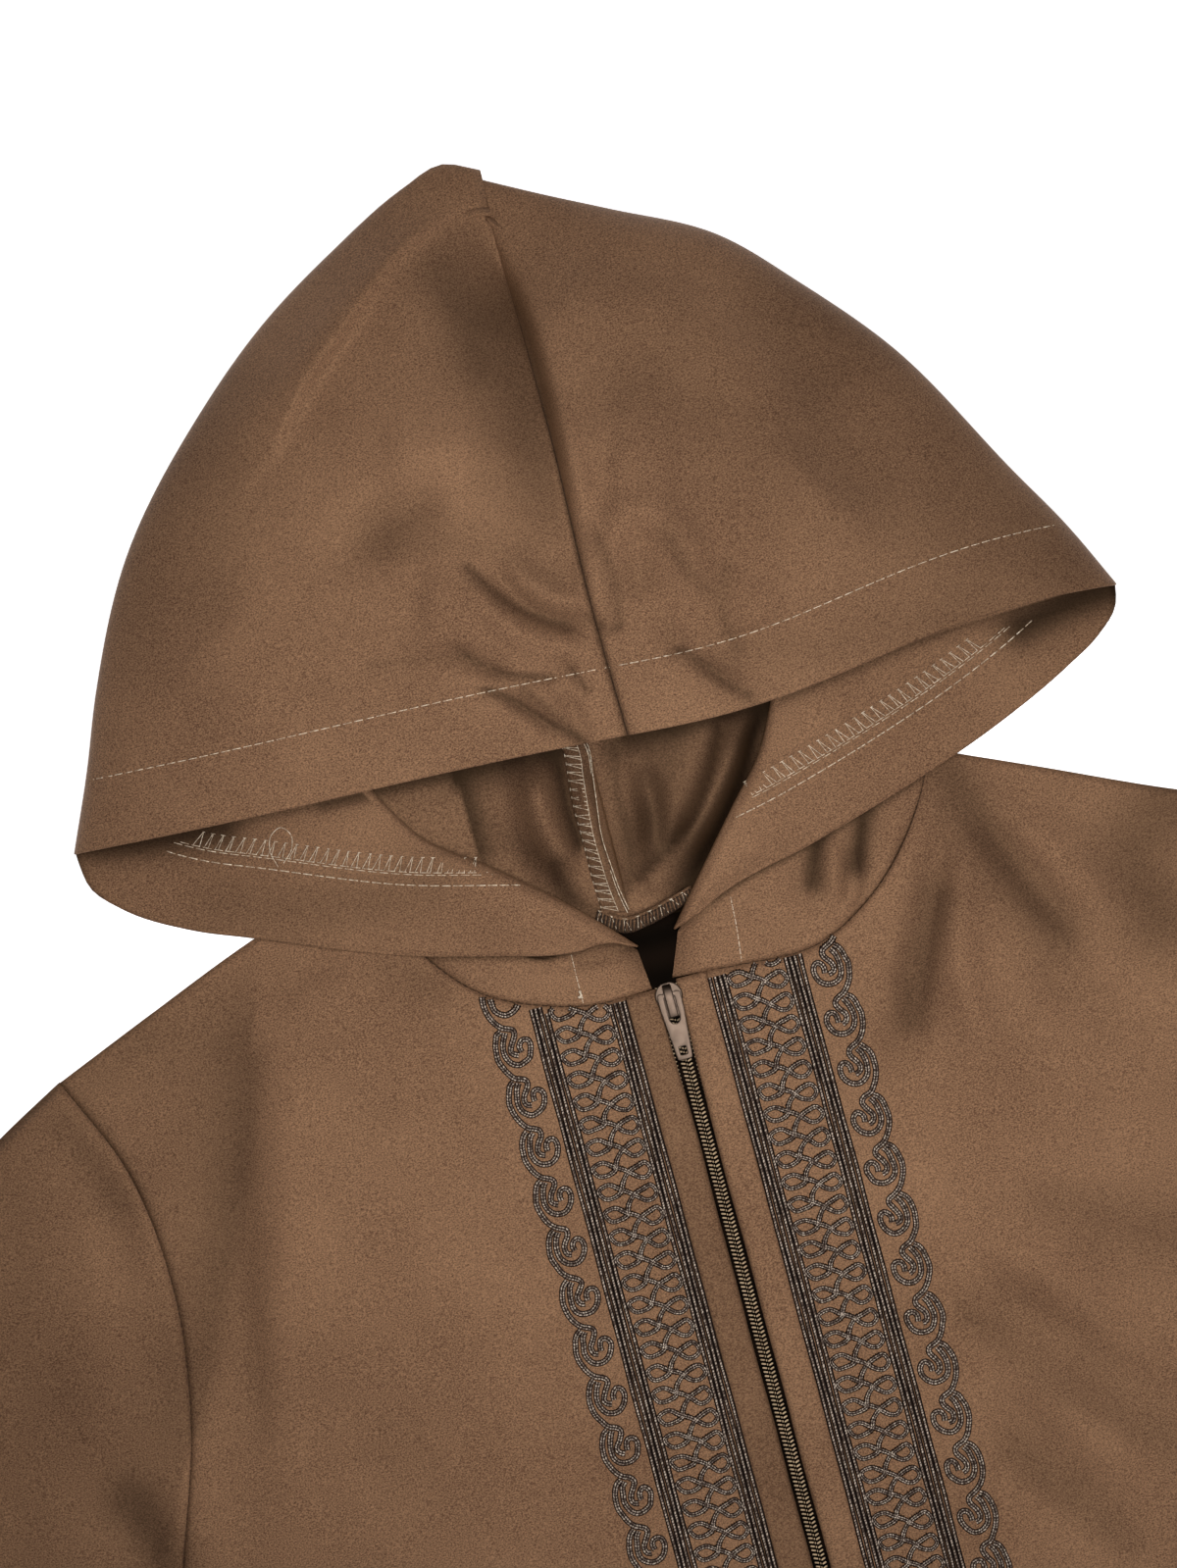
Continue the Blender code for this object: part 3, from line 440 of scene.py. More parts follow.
# Painted shade on the fronts and sleeves, where the cloth lies in shade: points along each, half widths to the left and
# right, and depth.
SHADES = [
    ([(128, 50.6), (134.5, 26.3), (141.5, 1.9), (153.3, -21.6)], 9, 12, 0.42),
    ([(210.7, 19.4), (189.9, 2.4), (192.2, -27.5)], 16, 16, 0.4),
    ([(111.6, 3.1), (98.7, -18.2), (88.6, -38.9)], 7, 9, 0.4),
    ([(-163.8, 11.6), (-179.2, -29.4), (-202, -77.4), (-220.8, -117.4)], 6, 26, 0.34),
    ([(-87.9, 20.5), (-99.8, 35)], 10, 10, 0.2),
    ([(-237.5, 8.8), (-227, -27.8)], 10, 10, 0.22),
    ([(-272.6, -4.4), (-282.2, -73.9), (-294.1, -151.9)], 36, 36, 0.2),
    ([(-251.4, -140.7), (-244.2, -167.5)], 12, 12, 0.55),
    ([(-199.6, 32.4), (-220.4, 22.2)], 12, 12, 0.18),
    ([(79.2, -155), (112.8, -197.8), (144.7, -226.6)], 9, 6, 0.22),
    ([(81.9, -212), (115.5, -254.8)], 9, 7, 0.22),
    ([(120.5, -118.7), (149.3, -128.7), (167.8, -140.4)], 10, 10, 0.16),
]
zip_foot = -412.0


def from_line(x, y, line):
    """Distance from each place to an open line, how far along it is, and a number above 0 left of its run."""
    place = np.stack([x, y], axis=-1)
    step = np.diff(line, axis=0)
    run = place[..., None, :] - line[:-1]
    share = np.clip(np.sum(run * step, axis=-1) / np.sum(step * step, axis=-1), 0.0, 1.0)
    away = np.linalg.norm(run - share[..., None] * step, axis=-1)
    nearest = np.argmin(away, axis=-1)[..., None]
    side_way = step[:, 0] * run[..., 1] - step[:, 1] * run[..., 0]
    away, share, side_way = (np.take_along_axis(value, nearest, -1)[..., 0] for value in (away, share, side_way))
    return away, (nearest[..., 0] + share) / len(step), side_way


def distance_to(x, y, line):
    """Shortest distance from each place to an open line."""
    return from_line(x, y, line)[0]


def bell(distance, width):
    """1 on a line, falling off to both sides: the Gaussian bell of the distance as a share of the width."""
    return np.exp(-((distance / width) ** 2))


def garment_edge(side):
    """Outline of half the robe: shoulder, top of the sleeve, underarm, side seam and hem."""
    return np.concatenate([
        through(SHOULDER[side], even(8)),
        through(SLEEVE_TOP[side], even(14))[1:],
        through(SLEEVE_UNDER[side], even(8))[::-1],
        through(SIDE_SEAM[side], even(8))[1:],
        through(HEM[side], even(6))[1:],
    ])


def curved_folds(x, y, folds):
    """Heights of curved folds: a bell across each line, wider on one side, fading at both ends."""
    height = np.zeros(np.shape(x))
    for points, left_width, right_width, rise in folds:
        away, along, side_way = from_line(x, y, through(points, even(12)))
        taper = 0.25 + 0.75 * smooth(along / 0.3) * smooth((1.0 - along) / 0.3)
        width = left_width + (right_width - left_width) * smooth(0.5 - side_way / 40.0)
        height += rise * taper * bell(away, width)
    return height


def depth_and_painted_shade(x, y, lines):
    """How deep each place lies, from 0 to 1, for pressed creases and painted shade: a bell across each line, with its
    own width on each side.
    """
    open_share = np.ones(np.shape(x))
    for points, left_width, right_width, depth in lines:
        away, along, side_way = from_line(x, y, through(points, even(16)))
        open_share *= 1 - depth * bell(away, np.where(side_way > 0, left_width, right_width))
    return 1 - open_share


def unevenness(x, y, length, seed):
    """Even soft waves in all directions, between -1 and 1, about that many millimetres long."""
    draw = np.random.default_rng(seed)
    total = np.zeros(np.shape(x))
    for angle, turn, stretch in zip(
        draw.uniform(0, np.pi, 7), draw.uniform(0, 2 * np.pi, 7), draw.uniform(0.7, 1.5, 7)
    ):
        total += np.sin((x * np.cos(angle) + y * np.sin(angle)) * 2 * np.pi / (length * stretch) + turn)
    return total / 4.0


EDGES = {side: garment_edge(side) for side in SIGN}
ARMHOLES = {side: through(ARMHOLE[side], even(30)) for side in SIGN}
NECKS = {side: through(FRONT_NECK[side], even(24)) for side in SIGN}


def upper_cloth(x, y):
    """Height of the upper cloth's middle.

    It rises from the back at the garment's edge to 3.2 mm, with up to 4 mm of loft and its folds where no trim
    holds it down, then is kept softly over a floor of 1.6 mm, less a groove 1 mm deep at the armhole and 0.8 mm
    at the neck.
    """
    side = "left" if np.mean(x) < 0 else "right"
    edge = distance_to(x, y, EDGES[side])
    inside = smooth(edge / 28.0)
    below_zip = smooth((zip_foot - y) / 60.0)
    folds_start = np.maximum(smooth((np.abs(x) - 70.0) / 24.0), below_zip)
    loft_starts = np.maximum(smooth((np.abs(x) - 68.0) / 60.0), below_zip)
    soft = curved_folds(x, y, FOLDS) + 0.8 * unevenness(x, y, 110.0, 3) + 0.2 * unevenness(x, y, 34.0, 4)
    height = 2.1 + 1.1 * inside - 0.7 * (1 - smooth(edge / 7.0))
    height += 4.0 * smooth(edge / 75.0) * loft_starts + soft * inside * folds_start
    floor, softness = 1.6, 0.8
    height = floor + softness * np.logaddexp(0.0, (height - floor) / softness)
    armhole_groove = 1.0 * bell(distance_to(x, y, ARMHOLES[side]), 1.7)
    return height - armhole_groove - 0.8 * bell(distance_to(x, y, NECKS[side]), 1.5)


for side, sign in SIGN.items():
    neck = [(sign * 16.5, FRONT_NECK[side][0][1]), *FRONT_NECK[side][1:]]
    plan = panel_plan(side, neck, (52, 46, 88, 110))
    # Four more columns to the centre seam below the zip.
    centre = np.repeat(plan[:, :1], 4, axis=1)
    centre[..., 0] = sign * np.array([0.15, 0.9, 5.5, 11.0])
    plan = np.concatenate([centre, plan], axis=1)
    x, y = plan[..., 0], plan[..., 1]
    cells = np.ones((plan.shape[0] - 1, plan.shape[1] - 1), bool)
    cells[: np.argmax(plan[:, 0, 1] < zip_foot), :4] = False
    # Painted shade in the valleys of the folds, up to 0.25, joined with the listed painted shades.
    painted_valley_shade = np.clip(-curved_folds(x, y, FOLDS) / 30.0, 0.0, 0.25)
    front = cloth_piece(
        f"front_{side}_cloth",
        np.dstack([plan, upper_cloth(x, y)]),
        [f"front_{side}"],
        cells,
        depth=1 - (1 - painted_valley_shade) * (1 - depth_and_painted_shade(x, y, SHADES)),
    )

# ---- Sleeves ----
# Straight sleeves, each one piece folded along its top edge, sewn along the underarm and set into the
# armhole. They lie flat, pressed along both edges, and are open at the cuff.
across = even(56)
down = np.concatenate([even(20) * 0.12, 0.12 + 0.88 * even(72)[1:]])
for side in SIGN:
    start = through(ARMHOLE[side], across)
    top = through(SLEEVE_TOP[side], down)
    under = through(SLEEVE_UNDER[side], down)
    cuff = top[-1] + across[:, None] * (under[-1] - top[-1])
    plan = patch(start, cuff, top, under, across, down)
    upper = np.dstack([plan, upper_cloth(plan[..., 0], plan[..., 1])])
    upper[:, [0, -1], 2] = 1.1
    lower = np.dstack([plan, np.full(plan.shape[:2], back_level)])[:, 1:-1]
    ring = np.concatenate([upper, lower[:, ::-1]], axis=1)
    # Painted shade on the sleeves, from the same list.
    shade = depth_and_painted_shade(ring[..., 0], ring[..., 1], SHADES)
    sleeve = cloth_piece(f"sleeve_{side}_cloth", ring, [f"sleeve_{side}"], wrap=True, depth=shade)
    length = float(np.linalg.norm(top[-1] - top[0])) / 1000

# ---- Hood ----
# Two halves joined at the crown and the centre back, each one piece running down into the collar. It lies folded
# in a Z: top layer face up, lower layer inside up with its lapel, then the collar to the front neck seam, and a
# hidden layer to the back neck seam. The opening has a 27 mm hem, turned in and topstitched.
NECK_START = {"left": (-5.6, -1.5), "right": (3.2, 0.8)}
# The edge of the opening from the break above the zip to the tip, then the hood's outline.
HOOD_EDGE = {
    "left": [
        (-7.6, 15), (-18.5, 21.3), (-30, 20.4), (-42.2, 21.9), (-54.4, 25.1), (-93.7, 35.6), (-150, 57.7),
        (-172.4, 66.9), (-196.4, 81.9), (-205.6, 92), (-208.3, 107),
    ],
    "right": [
        (13, 19), (28.4, 27), (68.9, 37.2), (109.6, 48.9), (150, 63), (182.2, 77.7),
        (198, 87), (206.5, 95.5), (208.9, 103.6),
    ],
}
HOOD_OUTLINE = {
    "left": [
        (-208.3, 107), (-194.9, 137.2), (-184, 164.7), (-158.6, 213.1), (-117.4, 258.7),
        (-83.6, 286.9), (-50.6, 307.1), (-18.6, 323.3), (-1.8, 328.5), (12.2, 322.5),
    ],
    "right": [
        (208.9, 103.6), (195.3, 132.1), (182.1, 155), (146.4, 217.6), (121.2, 247.2),
        (94, 274.7), (56.6, 294.9), (34, 306.6), (9.4, 320),
    ],
}
HOOD_ROLL = {
    "left": [(-4.3, 13.4), (-34, 42.9), (-55.1, 60.8), (-77, 78), (-92, 102)],
    "right": [(7, 16.5), (32, 45.6), (45, 60.5), (57.9, 74.8), (71, 99)],
}
HOOD_TUCK = {
    "left": [(-104, 71), (-110, 84), (-119, 104)],
    "right": [(122, 61), (126, 76), (128, 96)],
}
CENTRE_FRONT_TOP = [(10.2, 96.1), (9.4, 148.8), (11.2, 214.4), (10.9, 272.7), (10.7, 291)]
CENTRE_BACK = [(-7, 27.4), (-5.6, 96.1), (3, 200), (10.6, 288)]
# Heights by row: share of the way up, crown seam, outline, sheet below.
HOOD_HEIGHTS = [
    (0.00, 27, 5.4, 3.2),
    (0.12, 32, 6.6, 1.6),
    (0.30, 38, 8, 0.5),
    (0.55, 39, 8.6, 0.5),
    (0.78, 29, 7.2, 0.5),
    (0.92, 15, 5.2, 0.5),
    (1.00, 9.6, 4.2, 0.5),
]
# Folds of the top layer: points along each, half widths to the left and right of its run, and height.
HOOD_FOLDS = [
    ([(9.5, 311.7), (-12.2, 307.3), (-32.8, 296.3), (-53.3, 278.6), (-70.1, 264.6), (-95.9, 235.7)], 4, 14, 6.5),
    ([(-34.5, 304.6), (-73.2, 279.2), (-104.2, 251.7), (-124.5, 221.7)], 12, 12, 3.8),
    ([(4.4, 304.4), (11, 273.2), (12.4, 237.3), (10.9, 202.3), (7.5, 167.8)], 4, 26, -9),
    ([(-77.3, 189), (-54.4, 200.9), (-29.6, 204.1)], 10, 10, -4.5),
    ([(-56.4, 223.1), (-15.6, 212.2)], 18, 18, 2.7),
    ([(-55.6, 167.4), (-26.8, 155.7)], 14, 14, 3.3),
    ([(-140, 180), (-118, 140)], 18, 18, 3),
    ([(-23.7, 174.6), (-18, 159.3), (-8.6, 148.9), (12.4, 138.9)], 4, 4, -3.9),
    ([(-19.1, 177.3), (-6.3, 157.3), (14.2, 145.5)], 5, 5, 2.7),
    ([(-32.5, 171.1), (-26, 151.6), (-11.6, 137.5), (4.4, 131.2)], 5, 5, 3),
    ([(-62.1, 143.1), (-45.7, 143.9), (-36, 136.2), (-26.9, 125.9)], 4, 4, -2.7),
    ([(-67.9, 150.6), (-40.7, 148), (-27.2, 139.7)], 5, 5, 2),
    ([(-9.8, 137), (-3.8, 122.4)], 3, 3, -2.2),
    ([(-10.5, 119.5), (-4.5, 97.8)], 3.5, 3.5, -2.5),
    ([(-32.9, 125.5), (-19, 110), (-13.7, 100.3)], 4, 4, -2.4),
    ([(-23.8, 123), (-8.5, 105.2)], 4, 4, 1.8),
    ([(16.1, 160), (25.5, 173.2), (38.4, 177.2), (47.9, 167.2), (51.3, 150.5), (53.4, 136.2)], 8, 8, 4.2),
    ([(30.9, 163.9), (29.6, 144.6)], 8, 8, -3.3),
    ([(17.1, 235.2), (15.8, 195.9), (16.3, 175.7)], 6, 8, 3),
    ([(28.8, 200.3), (57.6, 188.6)], 22, 22, 3.2),
    ([(19.9, 286.1), (37.3, 261.4), (66.6, 251.6), (85.2, 232.8), (95.3, 210.4), (88.3, 184.3)], 16, 16, 3),
    ([(84.5, 258.2), (108.3, 226.8), (125, 187.7)], 24, 24, -3.6),
    ([(98.6, 193.4), (101, 173), (112.3, 156.3), (131.5, 153.1)], 10, 10, 3.9),
    ([(41, 119.5), (58.3, 103)], 4, 4, -2.5),
    ([(68.7, 142), (71.4, 121.2)], 8, 8, 2.4),
    ([(34.5, 139.3), (38.7, 118.1)], 5, 5, -2.1),
    ([(29.3, 306.4), (53.6, 292.8), (81.6, 278.2), (93.8, 272.2)], 8, 8, 3.8),
]
# Folds of the cloth that shows inside the mouth.
MOUTH_FOLDS = [
    ([(-28.4, 96.7), (-29, 71.3), (-22.4, 45.9)], 8, 8, 13),
    ([(-9.8, 95.7), (-11.2, 62.6), (-9.4, 32.6)], 4, 5, 9),
    ([(12.7, 85.7), (11.7, 58.4), (5, 42.5)], 5, 5, 8),
    ([(59.3, 98), (44.5, 75.2), (26.3, 54.1), (7.7, 37.8)], 5, 6, 14),
]
# Folds of the collar above the front neck seam.
COLLAR_CREASES = [
    ([(78.1, 40.6), (72.3, 11.2)], 4, 5, -3),
    ([(85, 34.4), (77.1, 9.9), (71.4, -1.5)], 4, 5, 3.4),
    ([(58.8, 34.9), (60.7, 7.9)], 4, 4, -2),
    ([(105.2, 37.6), (95.3, 13.7), (79.9, -1.7)], 5, 5, 3.4),
    ([(115.2, 41.4), (107.5, 19), (90.1, 4.2)], 3, 3, -2.5),
    ([(39.1, 24.1), (43.3, 4)], 4, 4, 1.4),
    ([(-59, 22.8), (-30.6, 16.5), (-5.3, 14.9)], 4, 3, -2),
    ([(-87, 30.3), (-69.2, 16.9)], 6, 6, 2),
]
# Painted shade where the layers lie deepest inside the mouth: points along each, half widths, and depth from 0 to 1.
MOUTH_SHADES = [
    ([(-17.4, 97.1), (-18.3, 81.3), (-18.5, 68.2), (-17.8, 60.7)], 3, 5, 0.85),
    ([(-58.9, 98), (-57.5, 88.9), (-56.7, 79.9), (-57.2, 68.4)], 7, 0.5, 0.8),
    ([(-55.6, 97.1), (-39.7, 96.5), (-23.5, 97.2)], 7, 7, 0.55),
    ([(-29.5, 55.1), (-29.5, 47.8), (-25.8, 39.5), (-20.3, 33)], 4, 3, 0.55),
    ([(-38.1, 58.9), (-33.5, 48.9), (-28.6, 40.3)], 6, 6, 0.25),
    ([(4.8, 91.1), (1.4, 76), (1.1, 62.9), (-0.2, 50.2), (-4.1, 38.1)], 1.6, 4, 0.42),
    ([(3.4, 94.4), (15.1, 94.2), (29.7, 94.6)], 5, 7, 0.45),
    ([(29.4, 93.3), (25.1, 82.8), (13.9, 68.3), (4.8, 56.1)], 9, 9, 0.25),
    ([(46, 89), (37.5, 72.2), (26.3, 57.1), (12.9, 48.1), (2, 41.2)], 1.2, 4.5, 0.6),
    ([(65.6, 92.3), (57.6, 84.3), (49.9, 71.7), (38.7, 57.2), (26.1, 43.1), (17.4, 32.3)], 6, 7.5, 0.97),
    ([(22.9, 96.5), (16.8, 73.3), (4.4, 48.9)], 13, 13, 0.3),
    ([(-42.8, 68.9), (-33.7, 59.1), (-27.5, 44.4)], 7, 7, 0.3),
    ([(9, 62), (16, 55), (25, 50)], 10, 10, 0.38),
]
# Sharp creases of the top layer, which are pressed in and darkened with painted shade, and its broad painted shades.
HOOD_CREASES = [
    ([(-31.5, 173.5), (-26.6, 165.1), (-18.7, 155.1), (-0.5, 142.4)], 1.6, 3, 0.55),
    ([(-56, 184.8), (-34.6, 183.8), (-19.3, 175), (-5.7, 159.5)], 9, 3, 0.16),
    ([(-42.5, 144.2), (-36.5, 137.1), (-27.2, 130.7), (-12.1, 125.4)], 1.4, 2.6, 0.5),
    ([(-77.9, 147.4), (-60.5, 145.9), (-42, 141.7)], 2, 4, 0.2),
    ([(-36.8, 127.3), (-29.6, 121.8), (-20.3, 112.3), (-5.6, 98.1)], 1.4, 3, 0.6),
    ([(-23.1, 124), (-13, 110.3), (-7.1, 100.1)], 1, 2, 0.35),
    ([(-3.7, 125.9), (0, 116.3)], 1.5, 1.5, 0.5),
    ([(7.9, 144.1), (13.3, 137.9), (18.6, 137.3)], 1.4, 2, 0.45),
    ([(38.5, 123.3), (47, 113.9), (53.3, 105.1), (60.2, 98.6)], 1.5, 3, 0.5),
    ([(19.4, 172.5), (21, 156.3), (19.6, 140.9)], 2, 4, 0.3),
    ([(44.9, 167.6), (48.8, 152.8), (54.4, 141.5)], 3.5, 3.5, 0.28),
    ([(64.2, 148.7), (57.4, 130.8), (60.5, 117.4)], 3, 3, 0.25),
]
# Broad painted shades of the top layer.
HOOD_SHADES = [
    ([(-105.9, 233.6), (-120.2, 209.9), (-129.7, 188.8)], 14, 14, 0.16),
    ([(-163, 182), (-149.7, 209.9), (-128, 239.5), (-100.7, 267.7)], 16, 16, 0.16),
    ([(190.1, 118.9), (174.9, 150.5), (155.4, 195.1), (126.5, 234.3)], 18, 18, 0.16),
    ([(60, 225), (95, 190), (129, 155), (177, 114.5)], 32, 32, 0.22),
    ([(60, 113), (105, 108), (150, 104)], 14, 14, 0.18),
    ([(-14, 287), (-10, 267), (-9, 248)], 9, 9, 0.28),
]
# Painted shade on the lapels: points along each, half widths to the left and right, and depth from 0 to 1.
LAPEL_SHADES = [
    ([(168.5, 97.1), (187.2, 100.8), (207.3, 102.5)], 9, 9, 0.92),
    ([(-200.4, 108.6), (-179.8, 104.6), (-150, 101.4)], 8, 8, 0.8),
    ([(-110.2, 100.1), (-82.9, 99.1), (-55.6, 98.1)], 3, 3, 0.6),
    ([(-160, 72), (-120, 62), (-80, 60)], 14, 14, 0.24),
]
# Painted shade in the collar's folds, with the same columns.
COLLAR_SHADES = [
    ([(74, 44), (69, 34), (65, 22)], 5, 4, 0.85),
    ([(94, 50), (89, 38), (83, 24)], 5, 4, 0.85),
    ([(-49, 23.7), (-44.6, 21.2), (-38.4, 20.8)], 2.2, 1.2, 0.95),
    ([(-29.3, 15.7), (-12.4, 13.4), (-4.8, 9.1)], 4, 4, 0.25),
]
# How far the front hem bows up and down between the crown and the tip.
HEM_BOW = {"left": 0.6, "right": -3.6}
# Where the layers lie: on the table, at the roll line, and for the middle layer and the lapel.
table_level, roll_level, middle_level, lapel_level = 0.5, 12.0, 4.4, 6.3
# Shares of the way up the centre back where the roll line starts and where the tip is.
break_row, tip_row = 0.10, 0.42
hem_depth = 27.0
turned_depth = {"left": 27.5, "right": 22.5}


def flat_at(plan, height):
    """A plan with heights, given for each point, row or column."""
    return np.dstack([plan, np.broadcast_to(height, plan.shape[:2])])


def between(start, end, share):
    """Rows of points from each start to its end, at the shares."""
    return start[:, None] + share[None, :, None] * (end - start)[:, None]


def bowed(line, share):
    """How far a line runs beside the straight one between its ends."""
    return line - (line[0] + share[:, None] * (line[-1] - line[0]))


def top_layer(side, crown, edge, crown_z, outline_z, above_tip, tip):
    """Top layer: a dome, steepening to the outline, and rounded down into the crown seam, with its hem and folds."""
    share = np.sin(even(112) * np.pi / 2) ** 1.25
    fullness = (2.4 + 2.6 * (1 - smooth(above_tip / 0.3)))[:, None]
    dome = (1 - share**fullness) ** 0.55
    top = flat_at(between(crown, edge, share), outline_z[:, None] + (crown_z - outline_z)[:, None] * dome)
    from_front = np.linalg.norm(top[:, :, :2] - top[tip, :, :2], axis=-1)
    bow = HEM_BOW[side] * np.sin(2 * np.pi * share) * np.exp(-from_front / 30.0)
    bow[:tip] = 0.0
    top[..., 1] += bow
    from_crown = np.linalg.norm(top[:, :, :2] - crown[:, None], axis=-1)
    from_edge = np.linalg.norm(top[:, :, :2] - edge[:, None], axis=-1)
    x, y = top[..., 0], top[..., 1]
    soft = 1.2 * curved_folds(x, y, HOOD_FOLDS) - 1.6 * depth_and_painted_shade(x, y, HOOD_CREASES)
    soft += 0.9 * unevenness(x, y, 110.0, 11) + 0.18 * unevenness(x, y, 30.0, 12)
    crown_dip = 0.9 if side == "left" else 2.3
    top[..., 2] += soft * smooth(from_edge / 40.0) - crown_dip * bell(from_crown, 1.6) - 0.8 * np.exp(-from_crown / 8.0)
    pucker = np.sin(from_crown * 2 * np.pi / 8.5 + 1.5 * np.sin(from_crown / 11.0))
    from_stitch = from_front - hem_depth
    top[..., 2] += 0.14 * pucker * bell(from_stitch, 6.0) - 0.30 * bell(from_stitch, 1.1)
    return top


def hood_grid(side):
    """Points of half the hood, and the places in the grid where its layers start.

    Each row runs from the crown over the top layer to the outline, back along the layer below to the roll line,
    under itself to the tuck, and out to the centre back. Rows go from the neck seam to the peak. Above the tip
    the roll line and the tuck pass each other and the layer below goes flat.
    """
    sign = SIGN[side]
    below = break_row * even(10)[:-1]
    folded = break_row + (tip_row - break_row) * even(60)
    opened = tip_row + (1 - tip_row) * np.concatenate([0.16 * even(44)[1:], 0.16 + 0.84 * even(56)[1:]])
    rows = np.concatenate([below, folded, opened])
    tip = len(below) + len(folded) - 1
    above_break = np.clip((rows - break_row) / (tip_row - break_row), 0.0, 1.0)
    above_tip = np.clip((rows - tip_row) / (1.0 - tip_row), 0.0, 1.0)
    beyond_tip = np.arange(len(rows)) >= tip
    crown = through(CENTRE_FRONT_TOP, above_tip) + (0.5 if side == "left" else 0.1, 0.0)
    centre_back = through(CENTRE_BACK, rows) - (0.7 * sign, 0.0)
    edge = through(HOOD_EDGE[side], above_break)
    edge[tip:] = through(HOOD_OUTLINE[side], above_tip)[tip:]
    heights = np.array(HOOD_HEIGHTS)
    crown_z, outline_z, below_z = (np.interp(above_tip, heights[:, 0], heights[:, n]) for n in (1, 2, 3))
    top = top_layer(side, crown, edge, crown_z, outline_z, above_tip, tip)
    # Under the outline and down to the layer below.
    turn = even(12)[1:] * np.pi / 2
    length = np.linalg.norm(centre_back - edge, axis=1)
    inward = unit(centre_back - edge)
    reach = 9.0 * (0.03 + 0.97 * smooth(above_tip / 0.12))
    reach = np.minimum(reach, 0.3 * length)[:, None]
    under = flat_at(
        edge[:, None] + inward[:, None] * (reach * (1 - np.cos(turn)))[..., None],
        outline_z[:, None] - (outline_z - below_z)[:, None] * np.sin(turn),
    )
    # Roll line and tuck. Above the tip they pass each other.
    lapel_start = np.where(beyond_tip[:, None], under[:, -1, :2], edge)
    span = centre_back - lapel_start
    roll = through(HOOD_ROLL[side], above_break)
    roll -= 0.42 * (roll_level - middle_level) * unit(roll - lapel_start)
    slit = np.array(NECK_START[side])
    under_break = rows < break_row
    roll[under_break] = slit + (rows[under_break] / break_row)[:, None] * (roll[len(below)] - slit)
    tuck = through(HOOD_TUCK[side], np.clip(rows / tip_row, 0, 1))
    passing = smooth(above_tip / 0.5)
    for line, last_share in ((roll, 0.36), (tuck, 0.6)):
        start = line[tip] - lapel_start[tip]
        first_share = start.dot(span[tip]) / span[tip].dot(span[tip])
        aside = start - first_share * span[tip]
        share = first_share + passing * (last_share - first_share)
        moved = lapel_start + share[:, None] * span + (1 - passing)[:, None] * aside
        line[tip:] = moved[tip:]
    overlap = np.sum((roll - tuck) * inward, axis=1)
    folded_yet = np.where(beyond_tip, 1 - smooth((-overlap - 8.0) / 26.0), 1.0)
    bulge = np.where(beyond_tip, np.clip(overlap / 6.0, 0.0, 1.0), 1.0)
    roll_z = table_level + (roll_level - table_level) * folded_yet
    middle_z = table_level + (middle_level - table_level) * folded_yet
    # Lapel, from the edge of the opening to the roll line, a little hollow between them.
    sinking = lapel_level + (below_z[0] - lapel_level) * smooth((above_break - 0.5) / 0.5)
    sinking += (roll_level - lapel_level - 1.0) * (1 - smooth(above_break / 0.25))
    edge_z = np.where(beyond_tip, below_z, sinking)
    share = even(44)
    lapel = flat_at(between(lapel_start, roll, share), edge_z[:, None] + (roll_z - edge_z)[:, None] * smooth(share))
    x, y = lapel[..., 0], lapel[..., 1]
    from_opening = distance_to(x, y, through(HOOD_EDGE[side], even(40))) - turned_depth[side]
    facing = 0.7 * (1 - smooth((from_opening - 11.6) / 1.2)) - 0.25 * bell(from_opening, 1.0)
    relief = 0.6 * unevenness(x, y, 46.0, 21) * np.sin(np.pi * share) + facing * smooth(share / 0.1)
    lapel[..., 2] += relief * (~beyond_tip)[:, None]
    # Roll line: half a turn down to the middle layer.
    turn = even(10)[1:-1] * np.pi
    half = (roll_z - middle_z)[:, None] / 2
    out = bulge[:, None] * half * np.sin(turn)
    rolled_z = middle_z[:, None] + half + half * np.cos(turn)
    rolled = flat_at(roll[:, None] + unit(roll - lapel_start)[:, None] * out[..., None], rolled_z)
    # Middle layer, from the roll line to the tuck. Its first row is the front neck seam.
    neck = offset(np.concatenate([[slit], through(FRONT_NECK[side], even(44))]), sign * 0.15)
    share = run_along(neck)
    share /= share[-1]
    roll[0] = neck[0]
    tuck[0] = neck[-1]
    fade = np.clip(1 - rows / tip_row, 0, 1)[:, None, None] ** 1.3
    plan = between(roll, tuck, share) + fade * bowed(neck, share)[None]
    lift = smooth(rows / (0.5 * tip_row))[:, None]
    slope = np.clip(0.5 - overlap / 12.0, 0.0, 1.0)[:, None] * beyond_tip[:, None]
    middle_height = middle_z[:, None] + slope * (0.5 - share) * (roll_z - table_level)[:, None] * 0.5
    seam_level = 3.0
    middle = flat_at(plan, seam_level + lift * (middle_height - seam_level))
    from_neck = np.linalg.norm(plan - plan[0], axis=-1)
    creases = curved_folds(middle[..., 0], middle[..., 1], COLLAR_CREASES) * smooth(from_neck / 8.0)
    middle[..., 2] += creases * (~beyond_tip)[:, None] - 0.9 * bell(from_neck, 1.5)
    # Tuck: half a turn down to the layer on the table.
    tuck_out = plan[:, -1] - plan[:, -2]
    tuck_out[tip + 1 :] = -inward[tip + 1 :]
    turn = even(8)[1:-1] * np.pi
    half = (middle[:, -1:, 2] - table_level) / 2
    out = bulge[:, None] * half * np.sin(turn)
    tucked_z = table_level + half + half * np.cos(turn)
    tucked = flat_at(plan[:, -1:] + unit(tuck_out)[:, None] * out[..., None], tucked_z)
